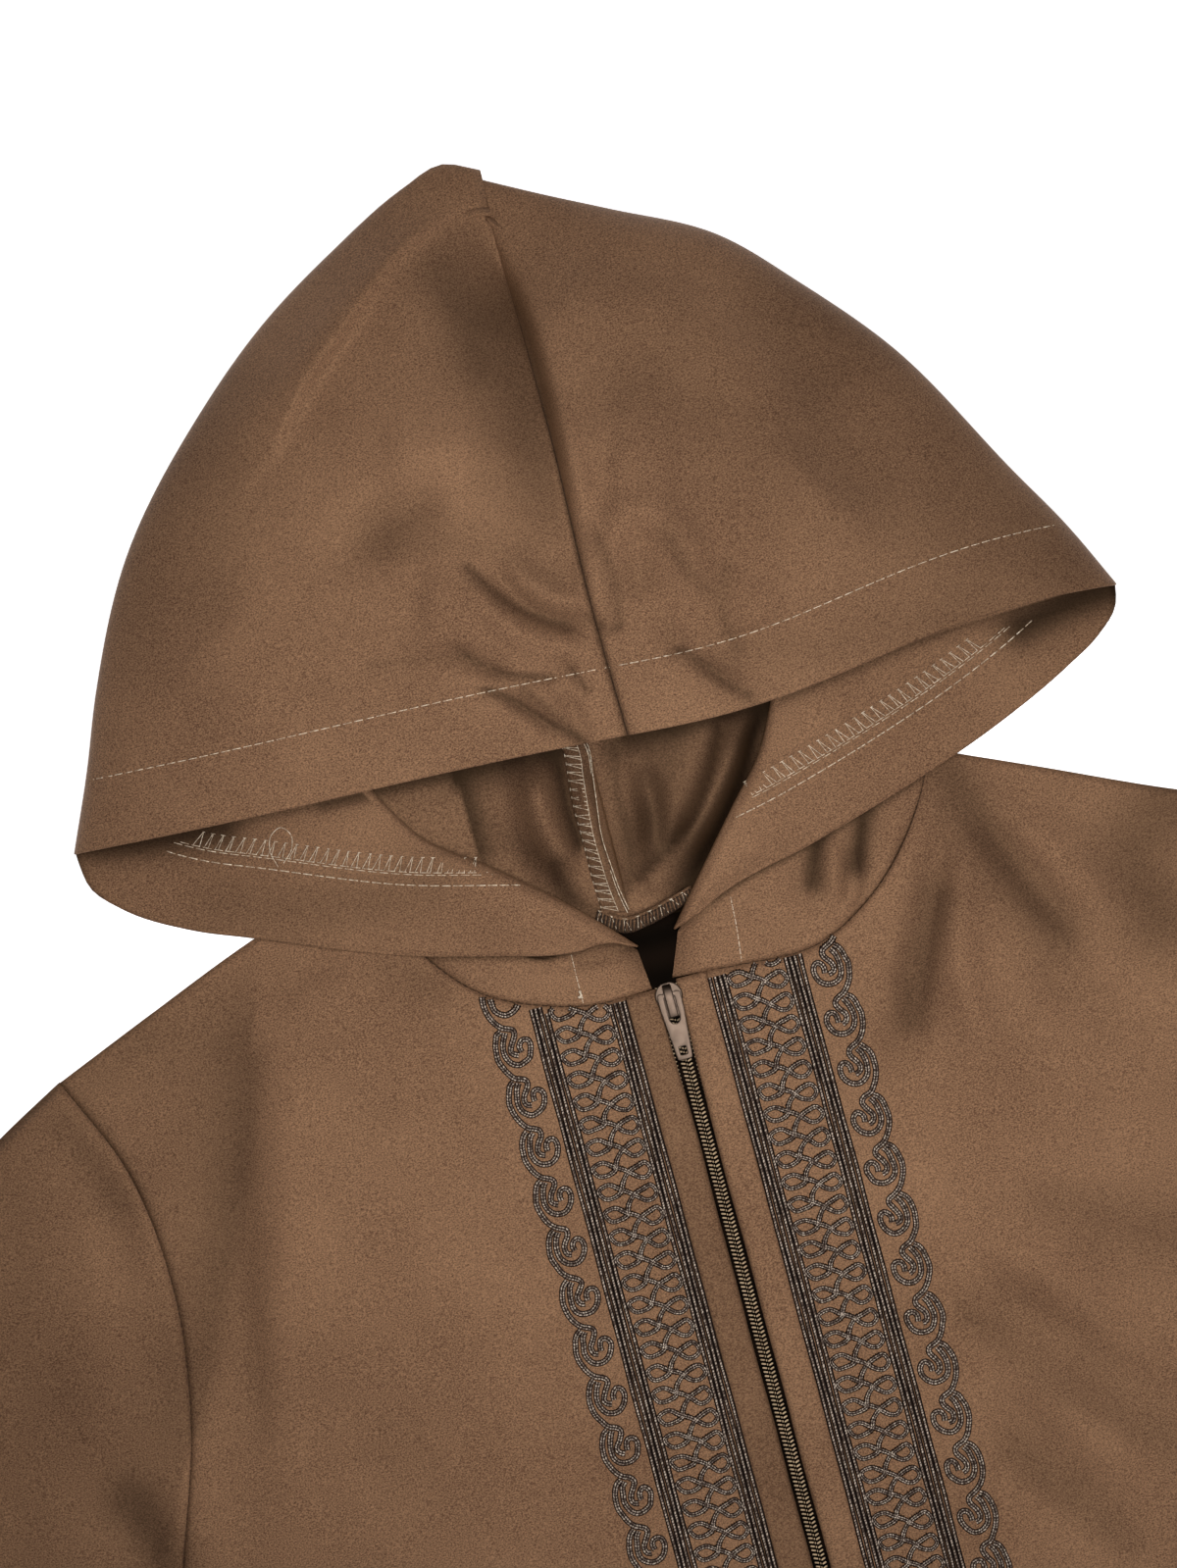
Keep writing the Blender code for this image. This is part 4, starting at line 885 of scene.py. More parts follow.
    # Layer on the table, to the centre back seam. Its first row is the back neck seam.
    share = even(54) ** 0.6
    back_neck = offset(through(BACK_NECK[side], (1 - share)[::-1]), sign * 0.15)[::-1]
    back_neck[0] = tuck[0]
    centre_back[0] = back_neck[-1]
    bottom = flat_at(between(tuck, centre_back, share) + fade * bowed(back_neck, share)[None], table_level)
    past_roll = np.sum((bottom[..., :2] - roll[:, None]) * unit(centre_back - roll)[:, None], axis=-1)
    lift = curved_folds(bottom[..., 0], bottom[..., 1], MOUTH_FOLDS) * smooth((past_roll - 3.0) / 6.0)
    bottom[..., 2] += lift * smooth((past_roll[:, -1:] - 14.0) / 16.0) * (~beyond_tip | (above_tip < 0.15))[:, None]
    if side == "left":
        # It laps over the right half at the centre back.
        bottom[..., 2] += 0.75 * (1 - smooth(np.linalg.norm(bottom[..., :2] - centre_back[:, None], axis=-1) / 4.0))
    # Once the folds are open their columns run straight across.
    folds = np.concatenate([rolled, middle, tucked], axis=1)
    share = even(folds.shape[1] + 1)[1:-1]
    spread = smooth((-overlap - 2.0) / 12.0) * beyond_tip
    straight = flat_at(between(roll, tuck, share), table_level + (roll_z - table_level)[:, None] * (1 - share))
    folds += spread[:, None, None] * (straight - folds)
    layers = {
        "top": top,
        "under": under[:, :-1],
        "lapel": lapel,
        "rolled": folds[:, : rolled.shape[1]],
        "middle": folds[:, rolled.shape[1] : -tucked.shape[1]],
        "tucked": folds[:, -tucked.shape[1] :],
        "bottom": bottom,
    }
    ends = np.cumsum([layer.shape[1] for layer in layers.values()]).tolist()
    starts = dict(zip(list(layers)[1:], ends)) | {"break": len(below), "tip": tip}
    return np.concatenate(list(layers.values()), axis=1), starts


hood_grids = {}
for side in SIGN:
    grid, starts = hood_grids[side] = hood_grid(side)
    tip, under = starts["tip"], starts["under"]
    cells = np.ones((grid.shape[0] - 1, grid.shape[1] - 1), bool)
    cells[:tip, : starts["lapel"]] = False
    cells[: starts["break"] + 2, : starts["rolled"] + 9] = False
    # Painted shade: each layer is painted darker in its hollows, and painted shadow lies close under the edge of the
    # layer above it.
    front_hem = [tuple(point) for point in grid[tip, :under:8, :2]]
    depth = np.zeros(grid.shape[:2])
    for columns, lines in (
        (slice(starts["lapel"], starts["rolled"]), [*LAPEL_SHADES, (front_hem, 3.0, 3.0, 0.5)]),
        (slice(starts["middle"], starts["tucked"]), [*COLLAR_SHADES, (HOOD_EDGE[side], 2.0, 2.0, 0.6)]),
        (slice(starts["bottom"], None), [*MOUTH_SHADES, (front_hem, 4.5, 4.5, 0.75)]),
    ):
        depth[:, columns] = depth_and_painted_shade(grid[:, columns, 0], grid[:, columns, 1], lines)
    # The layer on the table inside the mouth gets at least 0.12 of painted shade all over.
    depth[:, starts["bottom"] :] = 0.12 + 0.88 * depth[:, starts["bottom"] :]
    depth[tip + 3 :] = 0.0
    x, y = grid[:, :under, 0], grid[:, :under, 1]
    # Painted shade on the top layer: along the crown seam, in the valleys of its folds, and along its creases and broad
    # shades.
    seam = 0.75 * bell(np.linalg.norm(grid[:, :under, :2] - grid[:, :1, :2], axis=-1), 1.3)
    painted_valley_shade = np.clip(-curved_folds(x, y, HOOD_FOLDS) / 18.0, 0.0, 0.45)
    painted_crease_shade = 1 - (1 - painted_valley_shade) * (1 - depth_and_painted_shade(x, y, HOOD_CREASES + HOOD_SHADES))
    depth[:, :under] = np.maximum(seam, painted_crease_shade)
    hood = cloth_piece(f"hood_{side}_cloth", grid, [f"hood_{side}"], cells, depth=depth)

# ---- Plackets ----
# A plain strip of the same cloth each side of the zip: the front's folded edge, its fold left standing a little
# over the tape and its outer side pressed flat under the trim.
# Across from the zip, and height.
PLACKET_SECTION = [
    (4.2, 2.3), (4, 2.9), (4.2, 3.35), (4.9, 3.62), (6.2, 3.66), (8.5, 3.58), (11, 3.52), (13.5, 3.52),
    (15.2, 3.42), (16.1, 3.1), (16.3, 2.7),
]
fold_x = 4.0
for side, sign in SIGN.items():
    section = through(PLACKET_SECTION, even(18))
    neck_y = np.interp(section[:, 0], np.sort(np.abs(NECKS[side][:, 0])), NECKS[side][:, 1])
    y = neck_y + even(150)[:, None] ** 1.05 * (zip_foot - neck_y)
    x = sign * section[:, 0] * np.ones_like(y)
    wave = 0.12 * np.sin(y / 9.0 + sign) + 0.10 * np.sin(y / 23.0 + 1.0)
    opening = 0.7 * smooth((y + 60.0) / 40.0) - 0.35
    x += sign * (wave + opening) * np.exp(-((np.abs(x) - fold_x) / 3.0))
    z = section[:, 1] + 0.10 * unevenness(x, y, 30.0, 31) * smooth((np.abs(x) - fold_x) / 3.0)
    z -= 1.0 * bell(neck_y - y, 1.5)
    # Painted shadow: the left strip a little darker all over, and both strips darker along the fold by the zip.
    shadow = (0.26 if side == "left" else 0.04) + 0.2 * np.exp(-((np.abs(x) - fold_x) / 1.2))
    grid = np.stack([x, y, z], axis=-1)
    placket = cloth_piece(f"placket_{side}_cloth", grid, [f"placket_{side}"], thickness=0.6, depth=shadow)

# ---- Zip tape and coil ----
# Nylon coil zip: a dark woven tape, and on it two rows of bent filament whose heads lock in the middle, each
# loop sewn down by the tape's edge thread. The filament is tan and a little glossy, 1.6 mm from loop to loop.
zip_start, zip_end = -1.2, -403.0
coil_pitch = 1.63


def beads(stitches, sides=6, rings=5):
    """Vertices and quads of round-ended capsules, in millimetres, from lists of starts, ends and a radius.

    Each ring of a unit capsule is stretched along its own axis and set across it.
    """
    starts, ends = (np.concatenate([row[n] for row in stitches]) for n in (0, 1))
    radius = np.concatenate([np.full(len(row[0]), row[2]) for row in stitches])
    length = np.linalg.norm(ends - starts, axis=1)
    axis = unit(ends - starts)
    across = unit(np.cross(axis, np.where(np.abs(axis[:, 2:]) > 0.9, [1.0, 0.0, 0.0], [0.0, 0.0, 1.0])))
    third = np.cross(axis, across)
    angle = np.linspace(-np.pi / 2, np.pi / 2, 2 * rings)
    along = np.where(angle < 0, 0.0, 1.0)
    turn = np.arange(sides) * 2 * np.pi / sides
    ring_place = along[None] * length[:, None] + np.sin(angle)[None] * radius[:, None]
    ring_size = radius[:, None] * np.maximum(np.cos(angle), 0.05)[None]
    spoke = np.cos(turn)[:, None] * across[:, None] + np.sin(turn)[:, None] * third[:, None]
    points = starts[:, None, None] + ring_place[..., None, None] * axis[:, None, None]
    points = points + ring_size[..., None, None] * spoke[:, None]
    index = np.arange(2 * rings * sides).reshape(2 * rings, sides)
    beside = np.roll(index, -1, axis=1)
    quads = np.stack([index[:-1], beside[:-1], beside[1:], index[1:]], axis=-1).reshape(-1, 4)
    quads = quads[None] + (np.arange(len(starts)) * index.size)[:, None, None]
    return points.reshape(-1, 3), quads.reshape(-1, 4).tolist()


# Woven polyester tape, almost black, with its 0.8 mm ribs across.
tape_cloth, tree, shader = new_material("woven_zip_tape", {"Roughness": 0.8, "Specular IOR Level": 0.0})
place = add_node(tree, "ShaderNodeTexCoord").outputs["Object"]
settings = {"Scale": 20.0, "Distortion": 0.4, "bands_direction": "Y"}
ribs = add_node(tree, "ShaderNodeTexWave", settings, Vector=place).outputs["Fac"]
finish_with(tree, shader, ramp(tree, ribs, (0.0, "0a0705"), (1.0, "120c08")), ribs, 0.5, 0.0002)
# Nylon monofilament: tan, smooth and half glossy.
filament, tree, shader = new_material("nylon_coil", {"Roughness": 0.45, "Specular IOR Level": 0.3})
finish_with(tree, shader, ramp(tree, noise(tree, 220.0, 2.0), (0.0, "846a50"), (1.0, "c2a988")))

x = np.array([-13.0, -8.0, -4.5, -2.8, 0.0, 2.8, 4.5, 8.0, 13.0])
# The tape's ends lie open under the collar, down on the back; this dark sheet also stands in for the shade in the gap
# above the slider.
y = np.concatenate([np.linspace(zip_start + 26.0, zip_start, 8)[:-1], np.linspace(zip_start, zip_end, 90)])
tape_z = np.interp(np.abs(x), [0.0, 2.8, 4.5, 13.0], [2.0, 1.9, 1.8, 1.75])
tape_z = 1.25 + (tape_z - 1.25) * (1 - smooth((y - zip_start) / 12.0))[:, None]
grid = np.dstack([*np.meshgrid(x, y), tape_z])
tape = cloth_piece("zip_tape", grid, ["zip"], finish=tape_cloth, slot="zip_coil_and_tape")
down = zip_start - 0.6 - coil_pitch * np.arange(int((zip_start - zip_end) // coil_pitch))


def row_of(across, later, height):
    """A point for each loop of the coil, that far across and later down the zip."""
    return np.stack([np.full(len(down), across), down - later, np.full(len(down), height)], axis=1)


loops = [
    (row_of(sign * 0.86, late, 3.2), row_of(sign * 1.9, late - 0.36, 2.95), 0.34)
    for sign, late in ((-1.0, 0.0), (1.0, coil_pitch / 2))
]
# The heads in the middle, and the tape's edge stitches beside the loops.
loops.append((row_of(0.0, 0.6, 3.1), row_of(0.0, 0.25, 3.1), 0.24))
for sign in SIGN.values():
    loops.append((row_of(sign * 3.75, 0.0, 2.55), row_of(sign * 4.25, -0.12, 2.55), 0.24))
new_piece("zip_coil", *beads(loops), filament, "robe", None, "zip_coil_and_tape")

# ---- Slider and pull tab ----
# Die-cast zinc, nickel plated and tumbled: a plate that runs on the coil, the bridge that springs from its nose,
# and the tab that hangs by its cross bar under the bridge, with a long slot above and a square hole below.
# Right halves from top to bottom: (x, y).
PLATE_OUTLINE = [
    (0, -0.3), (2, -0.4), (3.7, -1.6), (4.9, -3.3), (5.4, -5.4), (5.1, -7.2), (4.3, -9), (3.8, -13.6), (0, -14.3),
]
PULL_OUTLINE = [
    (0, 0.75), (3.8, 0.75), (4.6, 0.1), (4.7, -2), (4.6, -6), (4.2, -11), (3.6, -18), (3.1, -24.6),
    (2.8, -25.7), (2.1, -26), (0, -26),
]
PULL_SLOT = [(0, -0.8), (1.9, -0.85), (2.15, -1.3), (2.15, -9), (1.9, -10.4), (1.1, -11.4), (0, -11.7)]
PULL_HOLE = [(0, -20.8), (1.2, -20.85), (1.4, -21.1), (1.4, -23.8), (1.2, -24.1), (0, -24.15)]
# Bridge in y and z: over the top from the nose to the tail, then back along its underside.
BRIDGE = [
    (-0.9, 4.9), (-1, 5.8), (-1.5, 7), (-2.4, 8.2), (-3.6, 8.9), (-5.5, 9.2), (-9, 9.2), (-12.4, 9.1), (-13.7, 8.7),
    (-14.2, 7.8), (-14.3, 4.9), (-12.5, 4.9), (-12.5, 7.2), (-12, 7.8), (-11.2, 7.9), (-4.4, 7.9), (-3.7, 7.6),
    (-3.4, 7), (-3.4, 4.9),
]


def mirrored(half):
    """A closed outline from its right half, given from top to bottom."""
    half = np.array(half)
    return np.concatenate([half, (half * (-1.0, 1.0))[-2:0:-1]])


def cast_form(outlines, thickness, bevel):
    """Points and faces of a flat form with rounded edges, lying in x and y and centred in z, in millimetres.

    The first outline is the form's and the others its holes. Each edge is rounded inwards by the bevel.
    """
    curve = bpy.data.curves.new("outline", "CURVE")
    curve.dimensions, curve.fill_mode = "2D", "BOTH"
    curve.extrude, curve.bevel_depth, curve.bevel_resolution = thickness / 2 - bevel, bevel, 2
    curve.offset = -bevel
    for outline in outlines:
        spline = curve.splines.new("POLY")
        spline.points.add(len(outline) - 1)
        spline.points.foreach_set("co", np.pad(outline, ((0, 0), (0, 2))).ravel())
        spline.use_cyclic_u = True
    holder = bpy.data.objects.new("outline", curve)
    mesh = holder.to_mesh()
    points = np.empty(len(mesh.vertices) * 3)
    mesh.vertices.foreach_get("co", points)
    faces = [list(face.vertices) for face in mesh.polygons]
    holder.to_mesh_clear()
    bpy.data.objects.remove(holder)
    return points.reshape(-1, 3), faces


def casting(name, shapes, body, node):
    """Joins shapes of points and faces into one casting, with its doubles merged and its creases kept sharp."""
    shift = np.cumsum([0] + [len(points) for points, faces in shapes])
    faces = [[n + int(shift[k]) for n in face] for k, (points, shape) in enumerate(shapes) for face in shape]
    points = np.concatenate([points for points, shape in shapes])
    piece = new_piece(name, points, faces, nickel, body, [node], "nickel")
    form = bmesh.new()
    form.from_mesh(piece.data)
    bmesh.ops.remove_doubles(form, verts=form.verts, dist=1e-6)
    bmesh.ops.recalc_face_normals(form, faces=form.faces)
    form.to_mesh(piece.data)
    form.free()
    piece.data.set_sharp_from_angle(angle=0.6)


# Nickel plate, tumbled: a warm grey metal with a soft uneven gloss and fine pits.
nickel, tree, shader = new_material("tumbled_nickel_plate", {"Roughness": 0.42, "Metallic": 1.0})
tarnish = noise(tree, 420.0, 4.0)
finish_with(tree, shader, ramp(tree, tarnish, (0.3, "4d4138"), (0.7, "625348")), tarnish, 0.3, 0.0001)
tree.links.new(remap(tree, tarnish, 0.3, 0.7, 0.42, 0.58), shader.inputs["Roughness"])

plate_points, plate_faces = cast_form([through(mirrored(PLATE_OUTLINE), even(60))], 1.3, 0.55)
bridge_points, bridge_faces = cast_form([np.array(BRIDGE)], 3.5, 0.5)
plate_points[:, 2] += 4.95
shapes = [(plate_points, plate_faces), (bridge_points[:, [2, 0, 1]], bridge_faces)]
casting("slider_casting", shapes, "robe", "zip_slider")
tab_points, tab_faces = cast_form([mirrored(half) for half in (PULL_OUTLINE, PULL_SLOT, PULL_HOLE)], 1.2, 0.32)
# The tab lies on the zip, tilted by 0.044 radians about its bar.
tilt, bar = 0.044, (0.0, -5.0, 6.75)
tilted = tab_points @ np.array([(1, 0, 0), (0, np.cos(tilt), np.sin(tilt)), (0, -np.sin(tilt), np.cos(tilt))])
casting("pull_tab", [(tilted + bar, tab_faces)], "pull", "zip_pull")

# ---- Soutache trim ----
# Flat braided cord, two ridges with a groove between, sewn on by hand: two bands of four cords 1.9 mm wide, a
# looping chain between them 2.6 mm wide, and scrolls of two cords 3.2 mm wide along the outer band.
# One loop of the chain, then one scroll's cords: how far from the zip, and how far down.
CHAIN = [
    (36.3, 4.85), (37.2, 2.4), (40.8, 0.9), (44, 1.1), (46, 4.6), (41.4, 6), (38.1, 3.8), (32.5, 0),
    (31, -1.6), (29, -3.2), (26.9, -3.5), (24.1, -1.3), (25.8, 2.1), (28.8, 1.6), (32.5, 0),
]
SCROLLS = [
    [
        (66.7, 0.1), (68.3, -1.1), (69.4, -3), (70.1, -5.4), (70.5, -7.9), (70.3, -10.6), (69.5, -13.5),
        (68, -16.4), (65.6, -19), (63.5, -19.9), (62.1, -20.8), (61.7, -22), (62.4, -23.9), (63.6, -25.6),
        (64.4, -27), (64.6, -28.7), (63.8, -30.1), (62.3, -30.6),
    ],
    [
        (65.1, -1), (66.3, -2.8), (67.1, -5.7), (67.4, -8.8), (66.8, -11.4), (65.2, -13.4), (62.9, -14.3),
        (60.5, -14), (58.4, -12.5), (57.1, -10.2), (56.7, -7.8), (57.4, -5.9), (58.9, -5.2), (60.3, -5.9),
        (61, -7.6), (60.9, -9.6),
    ],
]
# Across and height, as shares of the half width and the height, and the braid's coordinate: edge, ridge, groove,
# ridge, edge. A cord of the bands stands on edge, so it shows one ridge.
CORD_SECTION = np.array([
    (-1, 0.04, -1), (-0.76, 0.14, -0.76), (-0.56, 0.62, -0.56), (-0.33, 1, -0.33), (-0.12, 0.62, -0.12),
    (0, 0.4, 0), (0.12, 0.62, 0.12), (0.33, 1, 0.33), (0.56, 0.62, 0.56), (0.76, 0.14, 0.76), (1, 0.04, 1),
])
BAND_SECTION = np.array([(-1, 0.1, 0), (-0.55, 0.75, 0.06), (0, 1, 0.35), (0.55, 0.75, 0.64), (1, 0.1, 0.76)])
chain_pitch, scroll_pitch = 9.05, 20.0
trim_base, trim_end, cord_height = 3.5, -411.0, 1.1
strand_pitch = 1.15


def cord_mesh(lines, section, half_width, first=0):
    """Sweeps a section along lines of x, y, z. Returns points, quads, and the braid's coordinate and run in mm.

    A point is the line's, plus across times the half width sideways, plus the section's height times the cord's.
    """
    points, quads, marks = [], [], []
    for line in lines:
        along = unit(np.gradient(line[:, :2], axis=0))
        side_way = np.stack([-along[:, 1], along[:, 0], np.zeros(len(line))], axis=1)
        ring = line[:, None] + half_width * section[None, :, :1] * side_way[:, None]
        ring[..., 2] += cord_height * section[None, :, 1]
        mark = np.stack(np.broadcast_arrays(section[None, :, 2], run_along(line)[:, None]), axis=-1)
        index = first + np.arange(ring.shape[0] * ring.shape[1]).reshape(ring.shape[:2])
        corners = [index[:-1, :-1], index[1:, :-1], index[1:, 1:], index[:-1, 1:]]
        quads.append(np.stack(corners, axis=-1).reshape(-1, 4))
        points.append(ring.reshape(-1, 3))
        marks.append(mark.reshape(-1, 2))
        first += index.size
    return np.concatenate(points), np.concatenate(quads), np.concatenate(marks)


def kept_runs(line, side):
    """The stretches of a line that lie below the neck seam and above the trim's foot."""
    order = np.argsort(np.abs(NECKS[side][:, 0]))
    neck_y = np.interp(np.abs(line[:, 0]), np.abs(NECKS[side][order, 0]), NECKS[side][order, 1])
    inside = (line[:, 1] < neck_y - 0.4) & (line[:, 1] > trim_end)
    cuts = np.flatnonzero(np.diff(inside.astype(int))) + 1
    runs = zip(np.split(line, cuts), np.split(inside, cuts))
    return [run for run, kept in runs if kept[0] and len(run) > 3]


def laid(plan, spacing):
    """A smooth line through points in plan, sampled evenly, lying on the cloth."""
    line = through(plan, even(int(run_along(plan)[-1] / spacing)))
    return np.column_stack([line, np.full(len(line), trim_base)])


# Braided cotton: nearly black strands, 1.15 mm from top to top, whose ends stand out as ticks along the cord's
# edges. Each strand's top along the ridges gets a painted highlight, uneven in brightness. Light share: on a ridge,
# times on a strand's top, times an uneven noise.
braid, tree, shader = new_material("braided_soutache", {"Roughness": 0.75, "Specular IOR Level": 0.0})
marks = add_node(tree, "ShaderNodeUVMap", {"uv_map": "braid"}).outputs[0]
parts = add_node(tree, "ShaderNodeSeparateXYZ", Vector=marks)
across = maths(tree, "ABSOLUTE", parts.outputs["X"])
slant = maths(tree, "MULTIPLY_ADD", across, 0.8, parts.outputs["Y"])
shifted = maths(tree, "MULTIPLY_ADD", noise(tree, 420.0, 1.0), 1.6, slant)
wave = maths(tree, "SINE", maths(tree, "MULTIPLY", shifted, 2 * np.pi / strand_pitch))
ridge = maths(tree, "MULTIPLY", remap(tree, across, 0.05, 0.20), remap(tree, across, 0.60, 0.42))
tops = maths(tree, "MULTIPLY", ridge, remap(tree, wave, -0.9, 0.4, 0.35, 1.0))
# Painted highlight on the strands' tops along the ridges, made uneven by noise.
painted_highlight = maths(tree, "MULTIPLY", tops, remap(tree, noise(tree, 700.0, 2.0), 0.36, 0.60, 0.40, 1.0))
strands = ramp(tree, painted_highlight, (0.0, "1a1310"), (1.0, "b8a99a"), middle=(0.4, "51433b"))
cloth_between = maths(tree, "MULTIPLY", remap(tree, across, 0.78, 0.82), remap(tree, wave, 0.05, -0.35))
finish_with(tree, shader, blend(tree, cloth_between, strands, "70523a"), tops, 0.6, 0.0003)

for side, sign in SIGN.items():
    draw = np.random.default_rng(5 if side == "left" else 6)
    bands, scrolls = [], []
    for number in range(8):
        x = sign * (17.2 + 1.9 * number if number < 4 else 47.5 + 1.9 * (number - 4))
        y = np.arange(6.0, trim_end, -3.0)
        drift = 0.10 * np.sin(y / 7.0 + 2.0 * number) + 0.08 * np.sin(y / 17.0 + number)
        line = np.column_stack([x + drift, y, trim_base + 0.05 * np.sin(y / 5.0 + number)])
        bands += kept_runs(line, side)
    # The same chain on both sides: the right one is the left one moved across, not mirrored.
    start_y, shift = (-4.3, 0.0) if side == "left" else (-0.65, 70.0)
    tops_y = start_y - chain_pitch * np.arange(-1, int(-trim_end / chain_pitch) + 1)
    nodes = np.array([(shift - a, y + dy) for y in tops_y for a, dy in CHAIN])
    nodes += draw.normal(0.0, 0.12, nodes.shape)
    # It is raised where it passes over itself, twice a loop.
    crossings = np.array([(shift - a, y + dy) for y in tops_y for a, dy in ((36.9, 3.2), (29.7, 1.2))])
    chain = laid(nodes, 0.7)
    chain[:, 2] += 0.55 * bell(np.linalg.norm(chain[:, None, :2] - crossings[None], axis=-1).min(axis=1), 2.0)
    start_y = -2.2 if side == "left" else -3.1
    for n in range(-1, int(-trim_end / scroll_pitch) + 1):
        for cord in SCROLLS:
            knot = np.array([(sign * a, start_y - scroll_pitch * n + dy) for a, dy in cord])
            scrolls += kept_runs(laid(knot + draw.normal(0.0, 0.1, knot.shape), 0.8), side)
    cords, first = [], 0
    for lines, section, half_width in (
        (bands, BAND_SECTION, 0.95),
        (kept_runs(chain, side), CORD_SECTION, 1.3),
        (scrolls, CORD_SECTION, 1.6),
    ):
        cords.append(cord_mesh(lines, section, half_width, first))
        first += len(cords[-1][0])
    points, faces, marks = (np.concatenate(arrays) for arrays in zip(*cords))
    trim = new_piece(f"braid_{side}", points, faces.tolist(), braid, "robe", [f"trim_{side}"], "soutache_cord")
    corner = np.empty(len(trim.data.loops), np.int32)
    trim.data.loops.foreach_get("vertex_index", corner)
    layer = trim.data.uv_layers.new(name="braid")
    layer.data.foreach_set("uv", marks[corner].astype(np.float32).ravel())

# ---- Stitching ----
# Cream polyester thread for the hood's hem, its overlocked inner edge and the seam allowances inside; dark
# brown thread where the sleeves and the hood are set in. Each stitch is 2 to 3 mm of thread lying on the cloth.
def at_level(lines, field, level):
    """The point on each line where the field first reaches the level. A line that never does is left out."""
    place = np.argmax(field >= level, axis=1)
    rows = np.flatnonzero(place > 0)
    place = place[rows]
    share = (level - field[rows, place - 1]) / (field[rows, place] - field[rows, place - 1])
    return lines[rows, place - 1] + share[:, None] * (lines[rows, place] - lines[rows, place - 1])


def resting(plan, layers):
    """The plan with heights: the mean height of the layers' points, weighted by a bell 1.5 mm wide."""
    cloth = np.concatenate([layer.reshape(-1, 3) for layer in layers])
    plan = np.array(plan)
    away = np.linalg.norm(plan.reshape(-1, 1, 2) - cloth[None, :, :2], axis=-1)
    weight = bell(np.minimum(away - away.min(axis=1, keepdims=True), 6.0), 1.5) + 1e-12
    height = weight @ cloth[:, 2] / weight.sum(axis=1)
    return np.concatenate([plan, height.reshape(*plan.shape[:-1], 1)], axis=-1)


def at_lengths(path, lengths):
    """Points of a path at those lengths from its start."""
    run = run_along(path)
    return np.stack([np.interp(lengths, run, path[:, n]) for n in range(3)], axis=-1)


def dashes(path, length, gap, lift, radius):
    """Running stitches along a path, standing a little above the cloth: starts, ends and the thread's radius."""
    start = at_lengths(path, np.arange(0.0, run_along(path)[-1], length + gap)) + (0.0, 0.0, lift)
    step = np.diff(start, axis=0)
    return start[:-1], start[:-1] + step * (length / (length + gap)), radius


def overlock(inner, outer, pitch, lift, radius):
    """Overlocked edge: each pitch a dash on the edge and two legs from it to the needle line, spread apart."""
    count = int(run_along(inner)[-1] / pitch)
    share = (np.arange(count)[:, None] + (0.0, 0.12, 0.28, 0.72)) / count
    share[:, 1:] += np.random.default_rng(8).normal(0.0, 0.05, (count, 3)) / count
    near, far = (at_lengths(path, share * run_along(path)[-1]) + (0.0, 0.0, lift) for path in (inner, outer))
    starts = [far[:, 0], far[:, 1], far[:, 1] + 0.25 * (far[:, 2] - far[:, 1])]
    ends = [far[:, 2], near[:, 2], near[:, 3]]
    return np.concatenate(starts), np.concatenate(ends), radius


def spun_thread(name, dark, light):
    """Spun thread: slubs of two shades along it."""
    made, tree, shader = new_material(name, {"Roughness": 0.7, "Specular IOR Level": 0.15})
    finish_with(tree, shader, ramp(tree, noise(tree, 900.0, 2.0), (0.35, dark), (0.65, light)))
    return made


cream, dark = [], []
inside, collars = [], []
# The lapel's stitch lines: how far past its turned edge, and the thread's radius.
LAPEL_LINES = [(0.0, 0.26), (4.1, 0.18), (5.0, 0.18)]
for side in SIGN:
    grid, starts = hood_grids[side]
    tip, first = starts["tip"], starts["break"]
    inside.append(grid[first - 6 : tip + 14, starts["bottom"] :])
    collars.append(grid[:tip:2, starts["middle"] : starts["tucked"]])
    top = grid[tip:, 1 : starts["under"]].transpose(1, 0, 2)
    field = distance_to(top[..., 0], top[..., 1], grid[tip, : starts["under"], :2])
    cream.append(dashes(at_level(top, field, hem_depth), 3.0, 1.4, 0.40, 0.22))
    if side == "left":
        dark.append(dashes(grid[tip:, 0], 2.4, 0.6, 0.35, 0.17))
    lapel = grid[first + 1 : tip, starts["lapel"] : starts["rolled"] + 5]
    field = distance_to(lapel[..., 0], lapel[..., 1], through(HOOD_EDGE[side], even(60)))
    for beyond, radius in LAPEL_LINES:
        cream.append(dashes(at_level(lapel, field, turned_depth[side] + beyond), 3.1, 1.4, 0.45, radius))
    needle = at_level(lapel, field, turned_depth[side] + 4.9)
    plan = offset(needle[:, :2], 6.0 * SIGN[side])
    on_cloth = np.linalg.norm(plan[:, None] - lapel.reshape(-1, 3)[None, :, :2], axis=-1).min(axis=1) < 2.4
    cream.append(overlock(needle[on_cloth], resting(plan, [lapel])[on_cloth], 4.0, 0.75, 0.16))
    for line, length in ((NECKS[side][1:], 2.0), (through(ARMHOLE[side], even(80))[1:-1], 2.2)):
        dark.append(dashes(np.column_stack([line, upper_cloth(*line.T)]), length, 1.2, 0.32, 0.17))

